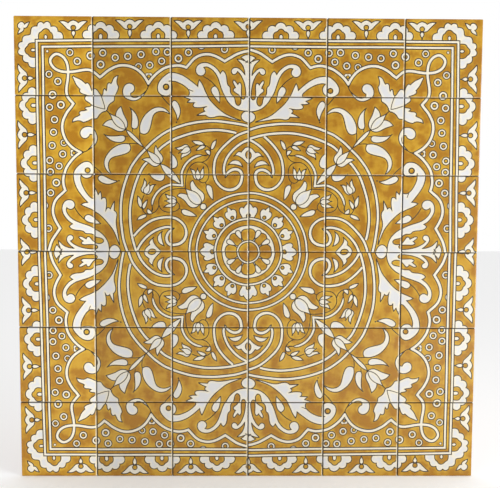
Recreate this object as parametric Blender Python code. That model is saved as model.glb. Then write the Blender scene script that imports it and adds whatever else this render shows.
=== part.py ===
"""A square wall panel of painted ceramic tiles, laid edge to edge.

The panel stands upright with its painted face towards -Y. The origin is the centre of the panel,
on the plane of the tiles' backs, where the wall is. Every tile is one solid: a pressed clay body
with leaning sides and key grooves in its back, and a glazed face whose edges are rounded over.
All sizes are in metres.
"""

import bmesh
import bpy

# The panel
ROWS = 6
COLUMNS = 6
JOINT = 0.0004

# One tile
TILE_WIDTH = 0.140
TILE_HEIGHT = 0.140
TILE_THICKNESS = 0.008
SIDE_LEAN = 0.0006

# The rounding of the glazed face: its edges, and what is left of its corners inside them.
# A bevel profile of 0.5 is a circular arc.
GLAZE_ROUND = 0.0012
FACE_CORNER = 0.0006
ROUND_SEGMENTS = 2
ROUND_PROFILE = 0.5

# The key grooves pressed into the back
KEY_MARGIN = 0.012
KEY_WIDTH = 0.009
KEY_RIB = 0.008
KEY_DEPTH = 0.0014
KEY_LEAN = 0.0008

# The finishes, as linear colours
GLAZE_COLOUR = (0.48, 0.24, 0.02, 1.0)
GLAZE_ROUGHNESS = 0.2
CLAY_COLOUR = (0.52, 0.33, 0.21, 1.0)
CLAY_ROUGHNESS = 0.9

# Faces whose normal's y is below GLAZED_BELOW are glazed, the rest are bare clay, and edges
# sharper than SHARP_ANGLE (in radians) are shaded sharp
GLAZED_BELOW = -0.1
SHARP_ANGLE = 0.6


def clear_scene():
    """Remove every object that the file opened with."""
    for item in list(bpy.data.objects):
        bpy.data.objects.remove(item, do_unlink=True)


def make_material(name, colour, roughness):
    """Return a Principled material with one colour and one roughness."""
    material = bpy.data.materials.new(name)
    material.use_nodes = True
    shader = material.node_tree.nodes["Principled BSDF"]
    shader.inputs["Base Color"].default_value = colour
    shader.inputs["Roughness"].default_value = roughness
    shader.inputs["Metallic"].default_value = 0.0
    material.diffuse_color = colour
    return material


def add_body(bm):
    """Add the clay body, a slab whose sides lean in towards its back.

    The sides run straight on past the height where the rounding of the face starts, so that the
    tile has its full width and height there, across its widest line.
    """
    bmesh.ops.create_cube(bm, size=1.0)
    at_face = SIDE_LEAN * GLAZE_ROUND / (TILE_THICKNESS - GLAZE_ROUND)
    for vert in bm.verts:
        is_face = vert.co.y < 0
        spread = at_face if is_face else -SIDE_LEAN
        vert.co.x = (TILE_WIDTH / 2 + spread) * (1 if vert.co.x > 0 else -1)
        vert.co.z = (TILE_HEIGHT / 2 + spread) * (1 if vert.co.z > 0 else -1)
        vert.co.y = -TILE_THICKNESS if is_face else 0.0


def round_corners(bm):
    """Round the four upright corners, so that the face keeps FACE_CORNER inside its rounding."""
    corners = [edge for edge in bm.edges if edge.verts[0].co.y != edge.verts[1].co.y]
    bmesh.ops.bevel(
        bm,
        geom=corners,
        offset=GLAZE_ROUND + FACE_CORNER,
        offset_type="OFFSET",
        segments=ROUND_SEGMENTS,
        profile=ROUND_PROFILE,
        affect="EDGES",
    )


def round_face(bm):
    """Round the edges of the glazed face."""
    bm.faces.ensure_lookup_table()
    face = min(bm.faces, key=lambda item: item.calc_center_median().y)
    bmesh.ops.bevel(
        bm,
        geom=list(face.edges),
        offset=GLAZE_ROUND,
        offset_type="OFFSET",
        segments=ROUND_SEGMENTS,
        profile=ROUND_PROFILE,
        affect="EDGES",
    )


def groove_edges():
    """Return the z of each groove's lower and upper edge, for as many pairs as the back takes.

    The count is even, so that a flat rib crosses the middle of the back.
    """
    half_span = TILE_HEIGHT / 2 - SIDE_LEAN - KEY_MARGIN
    pitch = KEY_WIDTH + KEY_RIB
    pairs = int((half_span + KEY_RIB / 2) / pitch)
    edges = []
    for step in range(pairs):
        low = KEY_RIB / 2 + step * pitch
        edges.append((low, low + KEY_WIDTH))
        edges.append((-low - KEY_WIDTH, -low))
    return edges


def press_grooves(bm):
    """Press the key grooves into the back, each a shallow pocket with leaning walls."""
    back = max(bm.faces, key=lambda item: item.calc_center_median().y)
    bmesh.ops.inset_region(bm, faces=[back], thickness=KEY_MARGIN, use_even_offset=True)
    strips = [back]
    for low, high in groove_edges():
        for level in (low, high):
            parts = set()
            for strip in strips:
                parts.update(strip.edges)
                parts.update(strip.verts)
            cut = bmesh.ops.bisect_plane(
                bm, geom=strips + list(parts), plane_co=(0, 0, level), plane_no=(0, 0, 1)
            )
            strips = [item for item in cut["geom"] if isinstance(item, bmesh.types.BMFace)]
    grooves = [
        strip
        for strip in strips
        if any(low < strip.calc_center_median().z < high for low, high in groove_edges())
    ]
    bmesh.ops.inset_individual(
        bm, faces=grooves, thickness=KEY_LEAN, depth=-KEY_DEPTH, use_even_offset=True
    )


def make_tile_mesh(glaze, clay):
    """Return the mesh that every tile shares, centred on the middle of its back."""
    bm = bmesh.new()
    add_body(bm)
    round_corners(bm)
    round_face(bm)
    press_grooves(bm)
    bmesh.ops.recalc_face_normals(bm, faces=list(bm.faces))
    for face in bm.faces:
        face.material_index = 0 if face.normal.y < GLAZED_BELOW else 1
    mesh = bpy.data.meshes.new("tile")
    bm.to_mesh(mesh)
    bm.free()
    mesh.materials.append(glaze)
    mesh.materials.append(clay)
    mesh.shade_smooth()
    mesh.set_sharp_from_angle(angle=SHARP_ANGLE)
    return mesh


def lay_tiles(mesh):
    """Lay the tiles row by row, from the top left as seen from the painted side."""
    panel = bpy.data.objects.new("panel", None)
    bpy.context.collection.objects.link(panel)
    for row in range(ROWS):
        for column in range(COLUMNS):
            tile = bpy.data.objects.new(f"tile_r{row + 1}_c{column + 1}", mesh)
            tile.parent = panel
            tile.location.x = (column - (COLUMNS - 1) / 2) * (TILE_WIDTH + JOINT)
            tile.location.z = ((ROWS - 1) / 2 - row) * (TILE_HEIGHT + JOINT)
            bpy.context.collection.objects.link(tile)


def main():
    clear_scene()
    glaze = make_material("painted_glaze", GLAZE_COLOUR, GLAZE_ROUGHNESS)
    clay = make_material("fired_clay", CLAY_COLOUR, CLAY_ROUGHNESS)
    lay_tiles(make_tile_mesh(glaze, clay))


main()
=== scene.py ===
"""A square wall panel of thirty-six painted tiles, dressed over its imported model.

The painting is set out once, in stencil millimetres from the middle of the panel: x to the right, z up
and 141 mm to a tile. Most shapes are drawn in one eighth of the panel and turned over the others. The
ring, the side palmette, the broad leaf, the start of the scalloped line and the bell on the seam have
a right and a left hand. The painting slips a little from tile to tile. It is cut into nine sheets,
each of which is turned to four places.
"""

import logging
import math
from collections.abc import Sequence
from dataclasses import dataclass, field
from enum import Enum

import bpy
import numpy as np
from mathutils import Matrix, Vector
from mathutils.geometry import delaunay_2d_cdt


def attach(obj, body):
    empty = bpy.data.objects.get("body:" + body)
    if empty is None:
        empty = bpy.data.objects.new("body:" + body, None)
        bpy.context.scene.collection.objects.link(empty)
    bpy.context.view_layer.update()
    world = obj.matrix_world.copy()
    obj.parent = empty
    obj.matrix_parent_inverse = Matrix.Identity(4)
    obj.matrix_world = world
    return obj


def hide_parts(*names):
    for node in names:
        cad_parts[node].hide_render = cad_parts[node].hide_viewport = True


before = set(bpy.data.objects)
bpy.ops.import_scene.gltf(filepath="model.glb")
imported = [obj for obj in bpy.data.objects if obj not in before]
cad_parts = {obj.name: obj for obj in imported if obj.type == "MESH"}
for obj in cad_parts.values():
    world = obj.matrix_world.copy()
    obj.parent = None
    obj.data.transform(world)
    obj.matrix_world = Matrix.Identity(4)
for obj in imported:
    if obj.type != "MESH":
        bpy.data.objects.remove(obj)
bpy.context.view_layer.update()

log = logging.getLogger("tile_panel")

Spot = tuple[float, float]
Run = Sequence[Spot]

MM = 0.001
STENCIL_TILE = 141.0
CURVE_STEP = 1.5
MITRE_LIMIT = 0.5


class Paint(Enum):
    """What covers a part of a tile, with its material slot."""

    OCHRE = 0
    WHITE = 1
    PEN = 2
    CLAY = 3


class Hand(Enum):
    """The half of an arm of the pattern that a shape belongs to."""

    BOTH = 0
    RIGHT = 1
    LEFT = 2


def smooth(points: Run, step: float = CURVE_STEP) -> np.ndarray:
    """Draw a smooth line through some points.

    The line is the natural cubic spline over the length of the chords: its second derivatives solve
    one linear system, with none at the two ends.

    Args:
        points: The points it goes through, in order.
        step: The spacing of the points returned.

    Returns:
        Points along the line, both ends included, as rows of (x, z).
    """
    knots = np.asarray(points, float)
    if len(knots) < 3:
        return knots
    chord = np.hypot(*np.diff(knots, axis=0).T)
    place = np.concatenate([[0.0], np.cumsum(chord)])
    count = len(knots)
    inner = np.arange(1, count - 1)
    system = np.eye(count)
    system[inner, inner - 1] = chord[:-1]
    system[inner, inner] = 2.0 * (chord[:-1] + chord[1:])
    system[inner, inner + 1] = chord[1:]
    pull = np.zeros((count, 2))
    pull[1:-1] = 6.0 * np.diff(np.diff(knots, axis=0) / chord[:, None], axis=0)
    bend = np.linalg.solve(system, pull)
    samples = np.linspace(0.0, place[-1], max(3, math.ceil(place[-1] / step) + 1))
    part = np.clip(np.searchsorted(place, samples, side="right") - 1, 0, count - 2)
    after = (samples - place[part])[:, None]
    before = (place[part + 1] - samples)[:, None]
    span = chord[part][:, None]
    curve = (bend[part] * before**3 + bend[part + 1] * after**3) / (6.0 * span)
    curve += (knots[part] / span - bend[part] * span / 6.0) * before
    curve += (knots[part + 1] / span - bend[part + 1] * span / 6.0) * after
    return curve


def grown_loop(loop: np.ndarray, by: float) -> np.ndarray:
    """Move a closed outline outwards.

    Each point moves along the mitre of its two edges, (n1 + n2) / (1 + n1.n2), held back at sharp tips.

    Args:
        loop: The outline's points.
        by: How far it moves; negative is inwards.

    Returns:
        The moved points.
    """
    edge = np.roll(loop, -1, axis=0) - loop
    edge /= np.maximum(np.hypot(*edge.T), 1e-9)[:, None]
    following = np.roll(loop, -1, axis=0)
    turn = np.sign(np.sum(loop[:, 0] * following[:, 1] - following[:, 0] * loop[:, 1]))
    normal = turn * np.stack([edge[:, 1], -edge[:, 0]], axis=1)
    earlier = np.roll(normal, 1, axis=0)
    openness = np.maximum(1.0 + np.sum(normal * earlier, axis=1), MITRE_LIMIT)
    return loop + by * (normal + earlier) / openness[:, None]


class Shape:
    """Something that is painted with a brush and edged with a pen."""

    def grown(self, by: float) -> list[np.ndarray]:
        """Give the shape's closed outlines, moved outwards by a distance.

        Args:
            by: The distance; negative is inwards.

        Returns:
            Outlines that together cover the shape.
        """
        raise NotImplementedError

    def turned(self, angle: float) -> "Shape":
        """Give the shape turned clockwise about the middle of the panel.

        Args:
            angle: The turn in degrees.

        Returns:
            The turned shape.
        """
        c = math.cos(math.radians(angle))
        s = math.sin(math.radians(angle))
        turn = np.array([[c, s], [-s, c]])
        return Turned(self, turn)


@dataclass(frozen=True)
class Turned(Shape):
    """A shape that is turned about the middle of the panel."""

    shape: Shape
    turn: np.ndarray

    def grown(self, by: float) -> list[np.ndarray]:
        """Grow the shape, then turn it."""
        return [loop @ self.turn.T for loop in self.shape.grown(by)]


@dataclass(frozen=True)
class Disc(Shape):
    """A round or oval spot."""

    x: float
    z: float
    radius: float
    height: float = 0.0

    def grown(self, by: float) -> list[np.ndarray]:
        """Give an ellipse with both half axes grown."""
        wide = self.radius + by
        tall = (self.height or self.radius) + by
        count = 8 * max(2, round(math.tau * wide / CURVE_STEP / 8.0))
        angle = np.linspace(0.0, math.tau, count, endpoint=False)
        return [np.stack([self.x + wide * np.cos(angle), self.z + tall * np.sin(angle)], axis=1)]


class Outline(Shape):
    """A closed shape whose edge is made of smooth runs that meet in corners."""

    def __init__(self, *runs: Run) -> None:
        """Join the runs into one loop.

        Args:
            runs: Each run's points. A run begins where the one before ends, and the last one ends at the
                very first point or is closed by a straight edge.
        """
        pieces = []
        corner: list[Spot] = []
        for run in runs:
            points = [*corner, *run]
            pieces.append(smooth(points)[:-1])
            corner = [points[-1]]
        if corner[0] != runs[0][0]:
            pieces.append(np.array(corner))
        self.loop = np.concatenate(pieces)

    @classmethod
    def mirrored(cls, centre: float, *runs: Run) -> "Outline":
        """Make a shape that is the same on both sides of an upright axis.

        Args:
            centre: The axis' x.
            runs: Its right half, from the top of the axis to the bottom, with x counted from the axis.

        Returns:
            The whole shape.
        """
        right = [[(centre + x, z) for x, z in run] for run in runs]
        ends = [right[0][0], *[run[-1] for run in right]]
        back = []
        for index in range(len(right) - 1, -1, -1):
            run = right[index] if index == 0 else [ends[index], *right[index]]
            back.append([(2.0 * centre - x, z) for x, z in run[::-1][1:]])
        return cls(*right, *back)

    @classmethod
    def halved(cls, centre: float, *runs: Run) -> "Outline":
        """Make only the right half of such a shape, with a sliver more to run under its other half.

        Args:
            centre: The axis' x.
            runs: The half, from the top of the axis to the bottom, with x counted from the axis.

        Returns:
            The half.
        """
        right = [[(centre + x, z) for x, z in run] for run in runs]
        sliver = centre - 0.8
        return cls(*right, [(sliver, right[-1][-1][1])], [(sliver, right[0][0][1])], [right[0][0]])

    def grown(self, by: float) -> list[np.ndarray]:
        """Move the edge along its mitres."""
        return [grown_loop(self.loop, by)]


@dataclass(frozen=True)
class Ribbon(Shape):
    """A brush stroke of even or changing width along smooth runs, mitred where they meet."""

    runs: Sequence[Run]
    width: float | Sequence[float]

    def grown(self, by: float) -> list[np.ndarray]:
        """Give one outline for each run and one for each mitre.

        A run's sides stand off its middle line by half the width along the normal.
        """
        loops = []
        last: tuple[np.ndarray, np.ndarray] | None = None
        corner: list[Spot] = []
        for run in self.runs:
            points = [*corner, *run]
            corner = [points[-1]]
            line = smooth(points)
            along = np.gradient(line, axis=0)
            along /= np.maximum(np.hypot(*along.T), 1e-9)[:, None]
            normal = np.stack([-along[:, 1], along[:, 0]], axis=1)
            half = self._half_widths(points, line)[:, None]
            half = np.where(half > 0.0, half + by, 0.0)
            loops.append(np.concatenate([line + half * normal, (line - half * normal)[::-1]]))
            if last is not None:
                loops.append(self._mitre(line[0], last[0], last[1], along[0], half[0, 0]))
            last = (normal[-1], along[-1])
        return loops

    def _half_widths(self, points: Run, line: np.ndarray) -> np.ndarray:
        """Spread the widths at the points over the line, by the length of its chords."""
        if isinstance(self.width, (int, float)):
            return np.full(len(line), self.width / 2.0)
        steps = np.hypot(*np.diff(np.asarray(points, float), axis=0).T)
        knots = np.concatenate([[0.0], np.cumsum(steps)])
        return np.interp(np.linspace(0.0, knots[-1], len(line)), knots, np.asarray(self.width) / 2.0)

    @staticmethod
    def _mitre(
        spot: np.ndarray, normal: np.ndarray, before: np.ndarray, after: np.ndarray, half: float
    ) -> np.ndarray:
        """Fill the wedge on the outer side of a corner.

        Args:
            spot: The corner.
            normal: The left normal of the run that ends there.
            before: The direction that it ends in.
            after: The direction that the next run begins in.
            half: Half the width there.

        Returns:
            A kite from the corner to the mitre's tip.
        """
        other = np.array([-after[1], after[0]])
        side = -math.copysign(half, before[0] * after[1] - before[1] * after[0])
        tip = (normal + other) / max(1.0 + float(normal @ other), 0.3)
        return np.array([spot, spot + side * normal, spot + side * tip, spot + side * other])


def petal(base: Spot, left: Run, tip: Spot, right: Run) -> Outline:
    """Make a pointed petal from its base up one edge to its tip and down the other.

    Args:
        base: Where it grows from.
        left: Points of the first edge, going out.
        tip: Its tip.
        right: Points of the second edge, coming back.

    Returns:
        The petal.
    """
    return Outline([base, *left, tip], [*right, base])


@dataclass(frozen=True)
class Coat:
    """One colour laid over some outlines, at its turn in the order of painting."""

    loops: list[np.ndarray]
    paint: Paint
    hand: Hand


class Stencil:
    """The whole painting, as coats in the order they are laid.

    OUTSIDE is the share of the dark line's width that lies outside a shape of each paint.
    """

    OUTSIDE = {Paint.OCHRE: 0.5, Paint.WHITE: 0.6}

    def __init__(self, pen: float) -> None:
        """Start with bare ochre.

        Args:
            pen: The width of the dark line round a shape.
        """
        self.pen = pen
        self.coats: list[Coat] = []

    def lay(
        self,
        paint: Paint,
        *shapes: Shape,
        right: Sequence[Shape] = (),
        left: Sequence[Shape] = (),
        pen: float | None = None,
    ) -> None:
        """Paint some shapes that run into each other, with one dark line round them all.

        Args:
            paint: What fills them.
            shapes: The shapes that both hands of the pattern have.
            right: Those that only its right hand has.
            left: Those that only its left hand has.
            pen: The width of the line where it isn't the usual one.
        """
        width = self.pen if pen is None else pen
        outside = self.OUTSIDE[paint]
        for colour, by in ((Paint.PEN, width * outside), (paint, width * (outside - 1.0))):
            for hand, group in ((Hand.BOTH, shapes), (Hand.RIGHT, right), (Hand.LEFT, left)):
                self._add(colour, hand, group, by)

    def line(self, *shapes: Shape, right: Sequence[Shape] = (), left: Sequence[Shape] = ()) -> None:
        """Draw some shapes with the pen alone.

        Args:
            shapes: The lines and dots that both hands of the pattern have.
            right: Those that only its right hand has.
            left: Those that only its left hand has.
        """
        for hand, group in ((Hand.BOTH, shapes), (Hand.RIGHT, right), (Hand.LEFT, left)):
            self._add(Paint.PEN, hand, group, 0.0)

    def _add(self, paint: Paint, hand: Hand, shapes: Sequence[Shape], by: float) -> None:
        """Add a coat over some shapes, if there are any."""
        if shapes:
            self.coats.append(Coat([loop for shape in shapes for loop in shape.grown(by)], paint, hand))


@dataclass(frozen=True)
class BorderFlowers:
    """The scalloped half flowers that sit on the border, with one bent round each corner."""

    places: tuple[tuple[float, float, float], ...] = (
        (58.5, 59.0, 13.9), (161.5, 162.5, 12.3), (265.0, 266.0, 12.8),
    )
    foot: float = 382.0

    def paint(self, stencil: Stencil) -> None:
        """Lay the white lobes, the ochre heart and the bud of each flower."""
        foot = self.foot
        for c, heart, wide in self.places:
            lobes = [
                Disc(c, 404.2, 10.2),
                Disc(c - 15.2, 400.3, 8.7),
                Disc(c + 15.0, 400.3, 8.6),
                Disc(c - 25.2, 390.6, 8.3),
                Disc(c + 25.0, 390.6, 8.0),
                Outline([(c - 26.0, foot)], [(c - 18.0, 399.0)], [(c, 408.0)], [(c + 18.0, 399.0)], [(c + 26.0, foot)]),
            ]
            stencil.lay(Paint.WHITE, *lobes)
            middle = Outline.mirrored(
                heart,
                [(0.0, 402.8), (3.8, 401.4), (6.2, 398.4)],
                [(wide - 3.4, 396.9), (wide - 0.5, 393.6), (wide, 389.2), (wide - 1.2, foot)],
                [(0.0, foot)],
            )
            stencil.lay(Paint.OCHRE, middle)
            bud = Outline.mirrored(
                c + 0.5,
                [(0.0, 393.2), (2.3, 391.9), (3.4, 389.0), (3.2, 386.0), (2.5, foot)],
                [(0.0, foot)],
            )
            stencil.lay(Paint.WHITE, bud)
        self._paint_corner(stencil)

    def _paint_corner(self, stencil: Stencil) -> None:
        """Lay the flower that bends round the corner; the other half of it is its mirror image."""
        foot = self.foot - 2.0
        lobes = Outline(
            [(381.0, 381.0), (333.5, 381.0)],
            [(332.6, 388.5), (335.0, 394.0), (339.0, 396.0), (341.6, 396.6)],
            [(342.5, 401.5), (345.5, 405.0), (350.0, 406.0), (354.0, 405.2)],
            [(355.3, 410.5), (358.5, 413.7), (363.0, 413.6), (366.6, 410.6)],
            [(370.0, 413.2), (374.0, 413.2), (377.5, 410.5), (378.6, 406.0)],
            [(383.5, 405.8), (388.0, 403.5), (390.0, 399.0), (390.6, 393.5), (391.5, 391.5)],
            [(391.5, 388.0)],
        )
        stencil.lay(Paint.WHITE, lobes)
        heart = Outline(
            [(351.5, foot), (351.0, 388.0), (352.5, 393.0), (356.0, 396.0)],
            [(358.3, 399.5), (363.2, 401.6), (368.3, 399.5), (371.0, 396.6)],
            [(375.0, 394.0), (376.6, 389.0), (376.2, foot)],
        )
        stencil.lay(Paint.OCHRE, heart)
        stencil.lay(Paint.WHITE, Disc(363.8, 387.0, 2.8, 4.0))


@dataclass(frozen=True)
class BorderBells:
    """The winged white bells between the flowers, each with a seed under it."""

    places: tuple[tuple[float, float], ...] = ((108.0, 0.0), (213.0, 0.6), (314.0, -1.8))
    seam_rise: tuple[float, float] = (0.9, -1.5)
    eye: float = 4.3

    def paint(self, stencil: Stencil) -> None:
        """Lay each bell, its ochre eye and its seed; the one on the seam has two unlike wings."""
        bells = [Outline.mirrored(c, *self._wing(rise)) for c, rise in self.places]
        wings = [Outline.halved(0.0, *self._wing(rise)) for rise in self.seam_rise]
        stencil.lay(Paint.WHITE, *bells, right=wings[:1], left=wings[1:])
        for c, rise in (*self.places, (0.0, 0.6)):
            stencil.lay(Paint.OCHRE, Disc(c, 405.0 + rise, self.eye))
            seed = Outline.mirrored(
                c,
                [(0.0, 400.0 + rise), (2.8, 398.0 + rise), (3.4, 394.9 + rise), (2.1, 390.4), (0.0, 386.8)],
            )
            stencil.lay(Paint.WHITE, seed)
            stencil.line(Disc(c, 385.8, 1.4))

    @staticmethod
    def _wing(rise: float) -> tuple[Run, ...]:
        """Give the right half of a bell that is raised a little."""
        return (
            [(0.0, 418.2 + rise), (5.2, 416.5 + rise), (9.2, 413.4 + rise)],
            [(13.0, 415.6 + rise), (18.5, 417.0 + rise), (25.3, 416.3 + rise)],
            [(19.6, 411.4 + rise), (13.6, 405.4 + rise), (9.2, 401.4 + rise), (4.6, 400.0 + rise)],
            [(0.0, 400.4 + rise)],
        )


@dataclass(frozen=True)
class CornerSprig:
    """The small three-leaved sprig in the panel's outer corner."""

    bud: Disc = Disc(406.6, 408.0, 5.6)

    def paint(self, stencil: Stencil) -> None:
        """Lay the bud and the leaf on one side of the diagonal."""
        leaf = Outline(
            [(392.0, 413.4), (396.4, 412.4), (401.0, 409.4)],
            [(405.0, 406.0), (403.6, 402.6)],
            [(399.0, 402.8), (395.0, 407.4), (392.0, 413.4)],
        )
        stencil.lay(Paint.WHITE, self.bud, leaf)


@dataclass(frozen=True)
class BorderLines:
    """The two white lines of the border, mitred at the corners."""

    outer: Run = ((-2.0, 383.4), (60.0, 382.6), (150.0, 381.8), (270.0, 381.2), (330.0, 380.6))
    inner: Run = ((-2.0, 372.4), (60.0, 371.6), (150.0, 370.9), (270.0, 370.6), (330.0, 370.0))
    corners: tuple[float, float] = (380.2, 369.8)
    lap: float = 8.0
    width: float = 4.8
    pen: float = 1.8

    def paint(self, stencil: Stencil) -> None:
        """Lay both lines a little way round the corner, so that they lap their mirror images."""
        half = self.width / 2.0
        lines = []
        for run, corner in zip((self.outer, self.inner), self.corners, strict=True):
            out = corner + half
            into = corner - half
            end = corner - self.lap
            upper = [(x, z + half) for x, z in run]
            lower = [(x, z - half) for x, z in run[::-1]]
            lines.append(Outline(upper, [(out, out)], [(out, end)], [(into, end)], [(into, into)], lower))
        stencil.lay(Paint.WHITE, *lines, pen=self.pen)


@dataclass(frozen=True)
class Eyelets:
    """The small white rings strewn between the border and the scalloped line."""

    places: tuple[tuple[float, float, float], ...] = (
        (43.0, 365.8, 7.0), (108.0, 360.5, 7.1), (126.3, 349.8, 7.6), (146.0, 360.5, 7.1), (166.6, 361.3, 7.1),
        (156.4, 344.5, 7.0), (178.0, 337.5, 7.1), (193.5, 356.3, 7.1), (217.4, 353.2, 7.1), (240.0, 350.9, 7.1),
        (262.2, 359.3, 7.1), (266.4, 338.8, 7.6), (284.3, 353.8, 7.6), (308.2, 343.8, 7.2), (321.0, 359.5, 6.8),
        (198.3, 335.0, 6.5),
    )
    hole: float = 3.3
    foot: Run = (
        (78.0, 371.4), (79.2, 368.0), (81.6, 366.2), (84.6, 365.6), (87.6, 366.2), (90.0, 368.0),
        (91.2, 371.4),
    )

    def paint(self, stencil: Stencil) -> None:
        """Lay the rings, the dot in the corner and the small heart in the scalloped line's deepest dip.

        The first shape is the foot of a white spot, whose rest is under the border line.
        """
        stencil.lay(Paint.WHITE, Outline(self.foot))
        stencil.lay(Paint.WHITE, *[Disc(x, z, radius) for x, z, radius in self.places])
        stencil.lay(Paint.OCHRE, *[Disc(x, z, self.hole) for x, z, _ in self.places], pen=1.8)
        stencil.lay(Paint.WHITE, Disc(361.6, 361.6, 2.4), pen=1.2)
        heart = Outline.mirrored(
            180.0, [(0.0, 322.8), (3.8, 323.6), (6.6, 320.4), (5.2, 315.4), (0.0, 309.8)]
        )
        stencil.lay(Paint.WHITE, heart, pen=1.2)
        stencil.lay(Paint.OCHRE, Disc(180.0, 317.4, 2.9), pen=1.5)


@dataclass(frozen=True)
class ScallopedLine:
    """The white line that swags round inside the border and loops at the corners."""

    width: float = 5.7
    right_start: Run = ((1.2, 366.6), (4.0, 366.0), (10.0, 364.2), (20.0, 360.5), (30.0, 354.2), (43.0, 344.8))
    left_start: Run = ((-1.3, 362.6), (6.0, 361.8), (12.0, 360.2), (20.0, 357.4), (30.0, 352.2), (43.0, 344.8))
    arcs: Sequence[Run] = (
        ((47.0, 347.2), (55.0, 351.7), (65.0, 355.7), (76.0, 357.2), (85.0, 355.8), (95.0, 351.5),
         (102.0, 345.3), (107.0, 339.5), (112.3, 333.8)),
        ((120.0, 336.2), (130.0, 337.2), (141.0, 335.5), (150.0, 332.8), (160.0, 327.0), (170.0, 318.7),
         (176.0, 312.1), (181.0, 305.2)),
        ((185.0, 312.5), (191.0, 321.0), (201.0, 329.8), (211.0, 334.6), (221.0, 337.0), (229.0, 337.2),
         (237.0, 335.8), (247.0, 331.5), (257.0, 325.1), (263.5, 319.6), (268.4, 316.2)),
        ((273.5, 320.8), (278.5, 324.8), (285.0, 328.0), (293.0, 328.8), (302.0, 327.8), (312.0, 326.0),
         (322.0, 325.0), (332.0, 325.2), (342.0, 327.4), (350.2, 332.2), (355.4, 339.4), (356.6, 347.0),
         (352.8, 352.8), (347.0, 356.6)),
    )

    def paint(self, stencil: Stencil) -> None:
        """Lay the arcs with mitred dips; the two hands start at unlike heights at the seam."""
        stencil.lay(
            Paint.WHITE,
            right=[Ribbon((self.right_start, *self.arcs), self.width)],
            left=[Ribbon((self.left_start, *self.arcs), self.width)],
        )


@dataclass(frozen=True)
class SidePalmette:
    """The tall palmette over the middle of each side: stem, curled leaves, drops and fruit."""

    left_lift: float = 1.8
    left_lean: float = -2.6
    bud: Sequence[Run] = (
        ((0.0, 356.0), (5.0, 355.6), (10.0, 353.6), (13.6, 351.2)),
        ((9.0, 348.4), (5.0, 344.6), (0.0, 342.0)),
    )
    drop: Run = (
        (52.0, 270.6), (57.0, 276.0), (62.4, 282.4), (66.4, 288.4), (67.8, 293.6), (65.6, 298.0),
        (61.2, 300.2), (57.0, 297.2), (53.8, 291.0), (52.2, 283.6), (51.6, 276.6), (52.0, 270.6),
    )
    fruit: Run = (
        (0.0, 256.4), (6.0, 254.8), (11.0, 251.0), (12.8, 245.8), (10.8, 240.6), (6.0, 236.8), (0.0, 234.4),
    )

    def paint(self, stencil: Stencil) -> None:
        """Lay the fruit, the leaf with its curls, the bud and the drop with its stalk."""
        stencil.lay(Paint.WHITE, Outline.mirrored(0.0, self.fruit))
        stencil.lay(
            Paint.WHITE, right=[self._leaf(0.0, 0.0)], left=[self._leaf(self.left_lift, self.left_lean)]
        )
        stencil.lay(Paint.WHITE, Outline.mirrored(0.0, *self.bud))
        stencil.line(
            Ribbon((((81.6, 317.8), (70.0, 310.6), (59.6, 300.4)),), 1.7),
            Ribbon((((0.0, 345.6), (3.0, 343.6), (5.6, 341.0)),), (2.6, 2.2, 0.6)),
        )
        stencil.lay(Paint.WHITE, Outline(self.drop))

    @staticmethod
    def _leaf(lift: float, lean: float) -> Outline:
        """Give the curled leaf.

        Args:
            lift: How much higher its large curl stands.
            lean: How far the slot at its foot leans.

        Returns:
            Its outline, from the bud round to the foot.
        """
        return Outline(
            [(-1.0, 346.5), (6.0, 345.2), (13.0, 347.4), (20.6, 348.2)],
            [(17.0, 344.6), (12.0, 339.6), (8.6, 333.0), (6.8, 326.0), (6.0, 319.5)],
            [(9.0, 323.9), (13.0, 328.2), (17.6, 331.8), (22.4, 333.5), (27.0, 332.4), (30.2, 329.4),
             (30.8, 325.8), (29.2, 322.4), (25.8, 321.0), (22.6, 322.4), (19.8, 326.6)],
            [(16.0, 323.0), (12.5, 317.6), (9.6, 311.6), (7.3, 304.6), (5.7, 297.0), (4.8, 289.0), (5.0, 282.0),
             (6.6, 278.0), (9.5, 276.6), (12.3, 278.6), (13.1, 283.0), (13.2, 290.0), (12.9, 298.0),
             (13.6, 304.0), (15.6, 306.6), (19.4, 303.0)],
            [(22.5, 307.2), (27.2, 310.8), (28.0, 307.6), (26.0, 302.6), (23.4, 297.4)],
            [(26.4, 296.0), (27.5, 292.8), (24.6, 289.4), (20.0 + 0.4 * lean, 285.4), (16.6 + lean, 280.0),
             (15.4 + lean, 273.6), (17.0 + lean, 268.0), (20.5 + lean, 265.4), (24.4 + lean, 268.0),
             (26.4 + lean, 274.0), (28.0 + lean, 280.0), (31.4 + 0.5 * lean, 284.6), (33.0, 290.0), (33.2, 296.0),
             (34.6, 299.8), (37.0, 301.6)],
            [(38.8, 307.0), (39.4, 313.6), (40.6, 320.0), (43.0, 325.0), (46.4, 328.0)],
            [(49.0, 325.4), (51.0, 321.6 + 0.4 * lift)],
            [(55.0, 327.2 + lift), (60.0, 332.2 + lift), (66.0, 336.5 + lift), (73.0, 339.6 + lift),
             (80.0, 340.4 + lift), (87.4, 338.6 + lift), (92.6, 334.6 + lift), (95.0, 329.0 + lift),
             (94.4, 323.0 + lift), (91.0, 318.6 + lift), (85.6, 317.0 + lift), (80.4, 319.2 + lift),
             (77.8, 323.6 + lift), (78.6, 328.6 + lift), (81.0, 332.0 + lift)],
            [(76.0, 333.0 + lift), (70.6, 331.2 + lift), (65.0, 327.4 + lift), (60.2, 322.0 + lift),
             (56.2, 315.4 + lift), (53.2, 308.0 + 0.6 * lift), (50.6, 300.6), (48.0, 293.0), (44.8, 286.0),
             (41.6, 280.6), (38.4, 275.0), (34.2, 269.4), (28.8, 264.2), (22.4, 259.9), (15.4, 257.3),
             (8.0, 256.0), (-1.0, 255.4)],
        )


@dataclass(frozen=True)
class Acanthus:
    """One hand of the broad leaf beside the palmette, whose arm curls into a scroll with an eye."""

    body: Sequence[Run]
    drop: Run
    eye: Disc
    eye_pen: float
    curl: Ribbon


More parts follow.
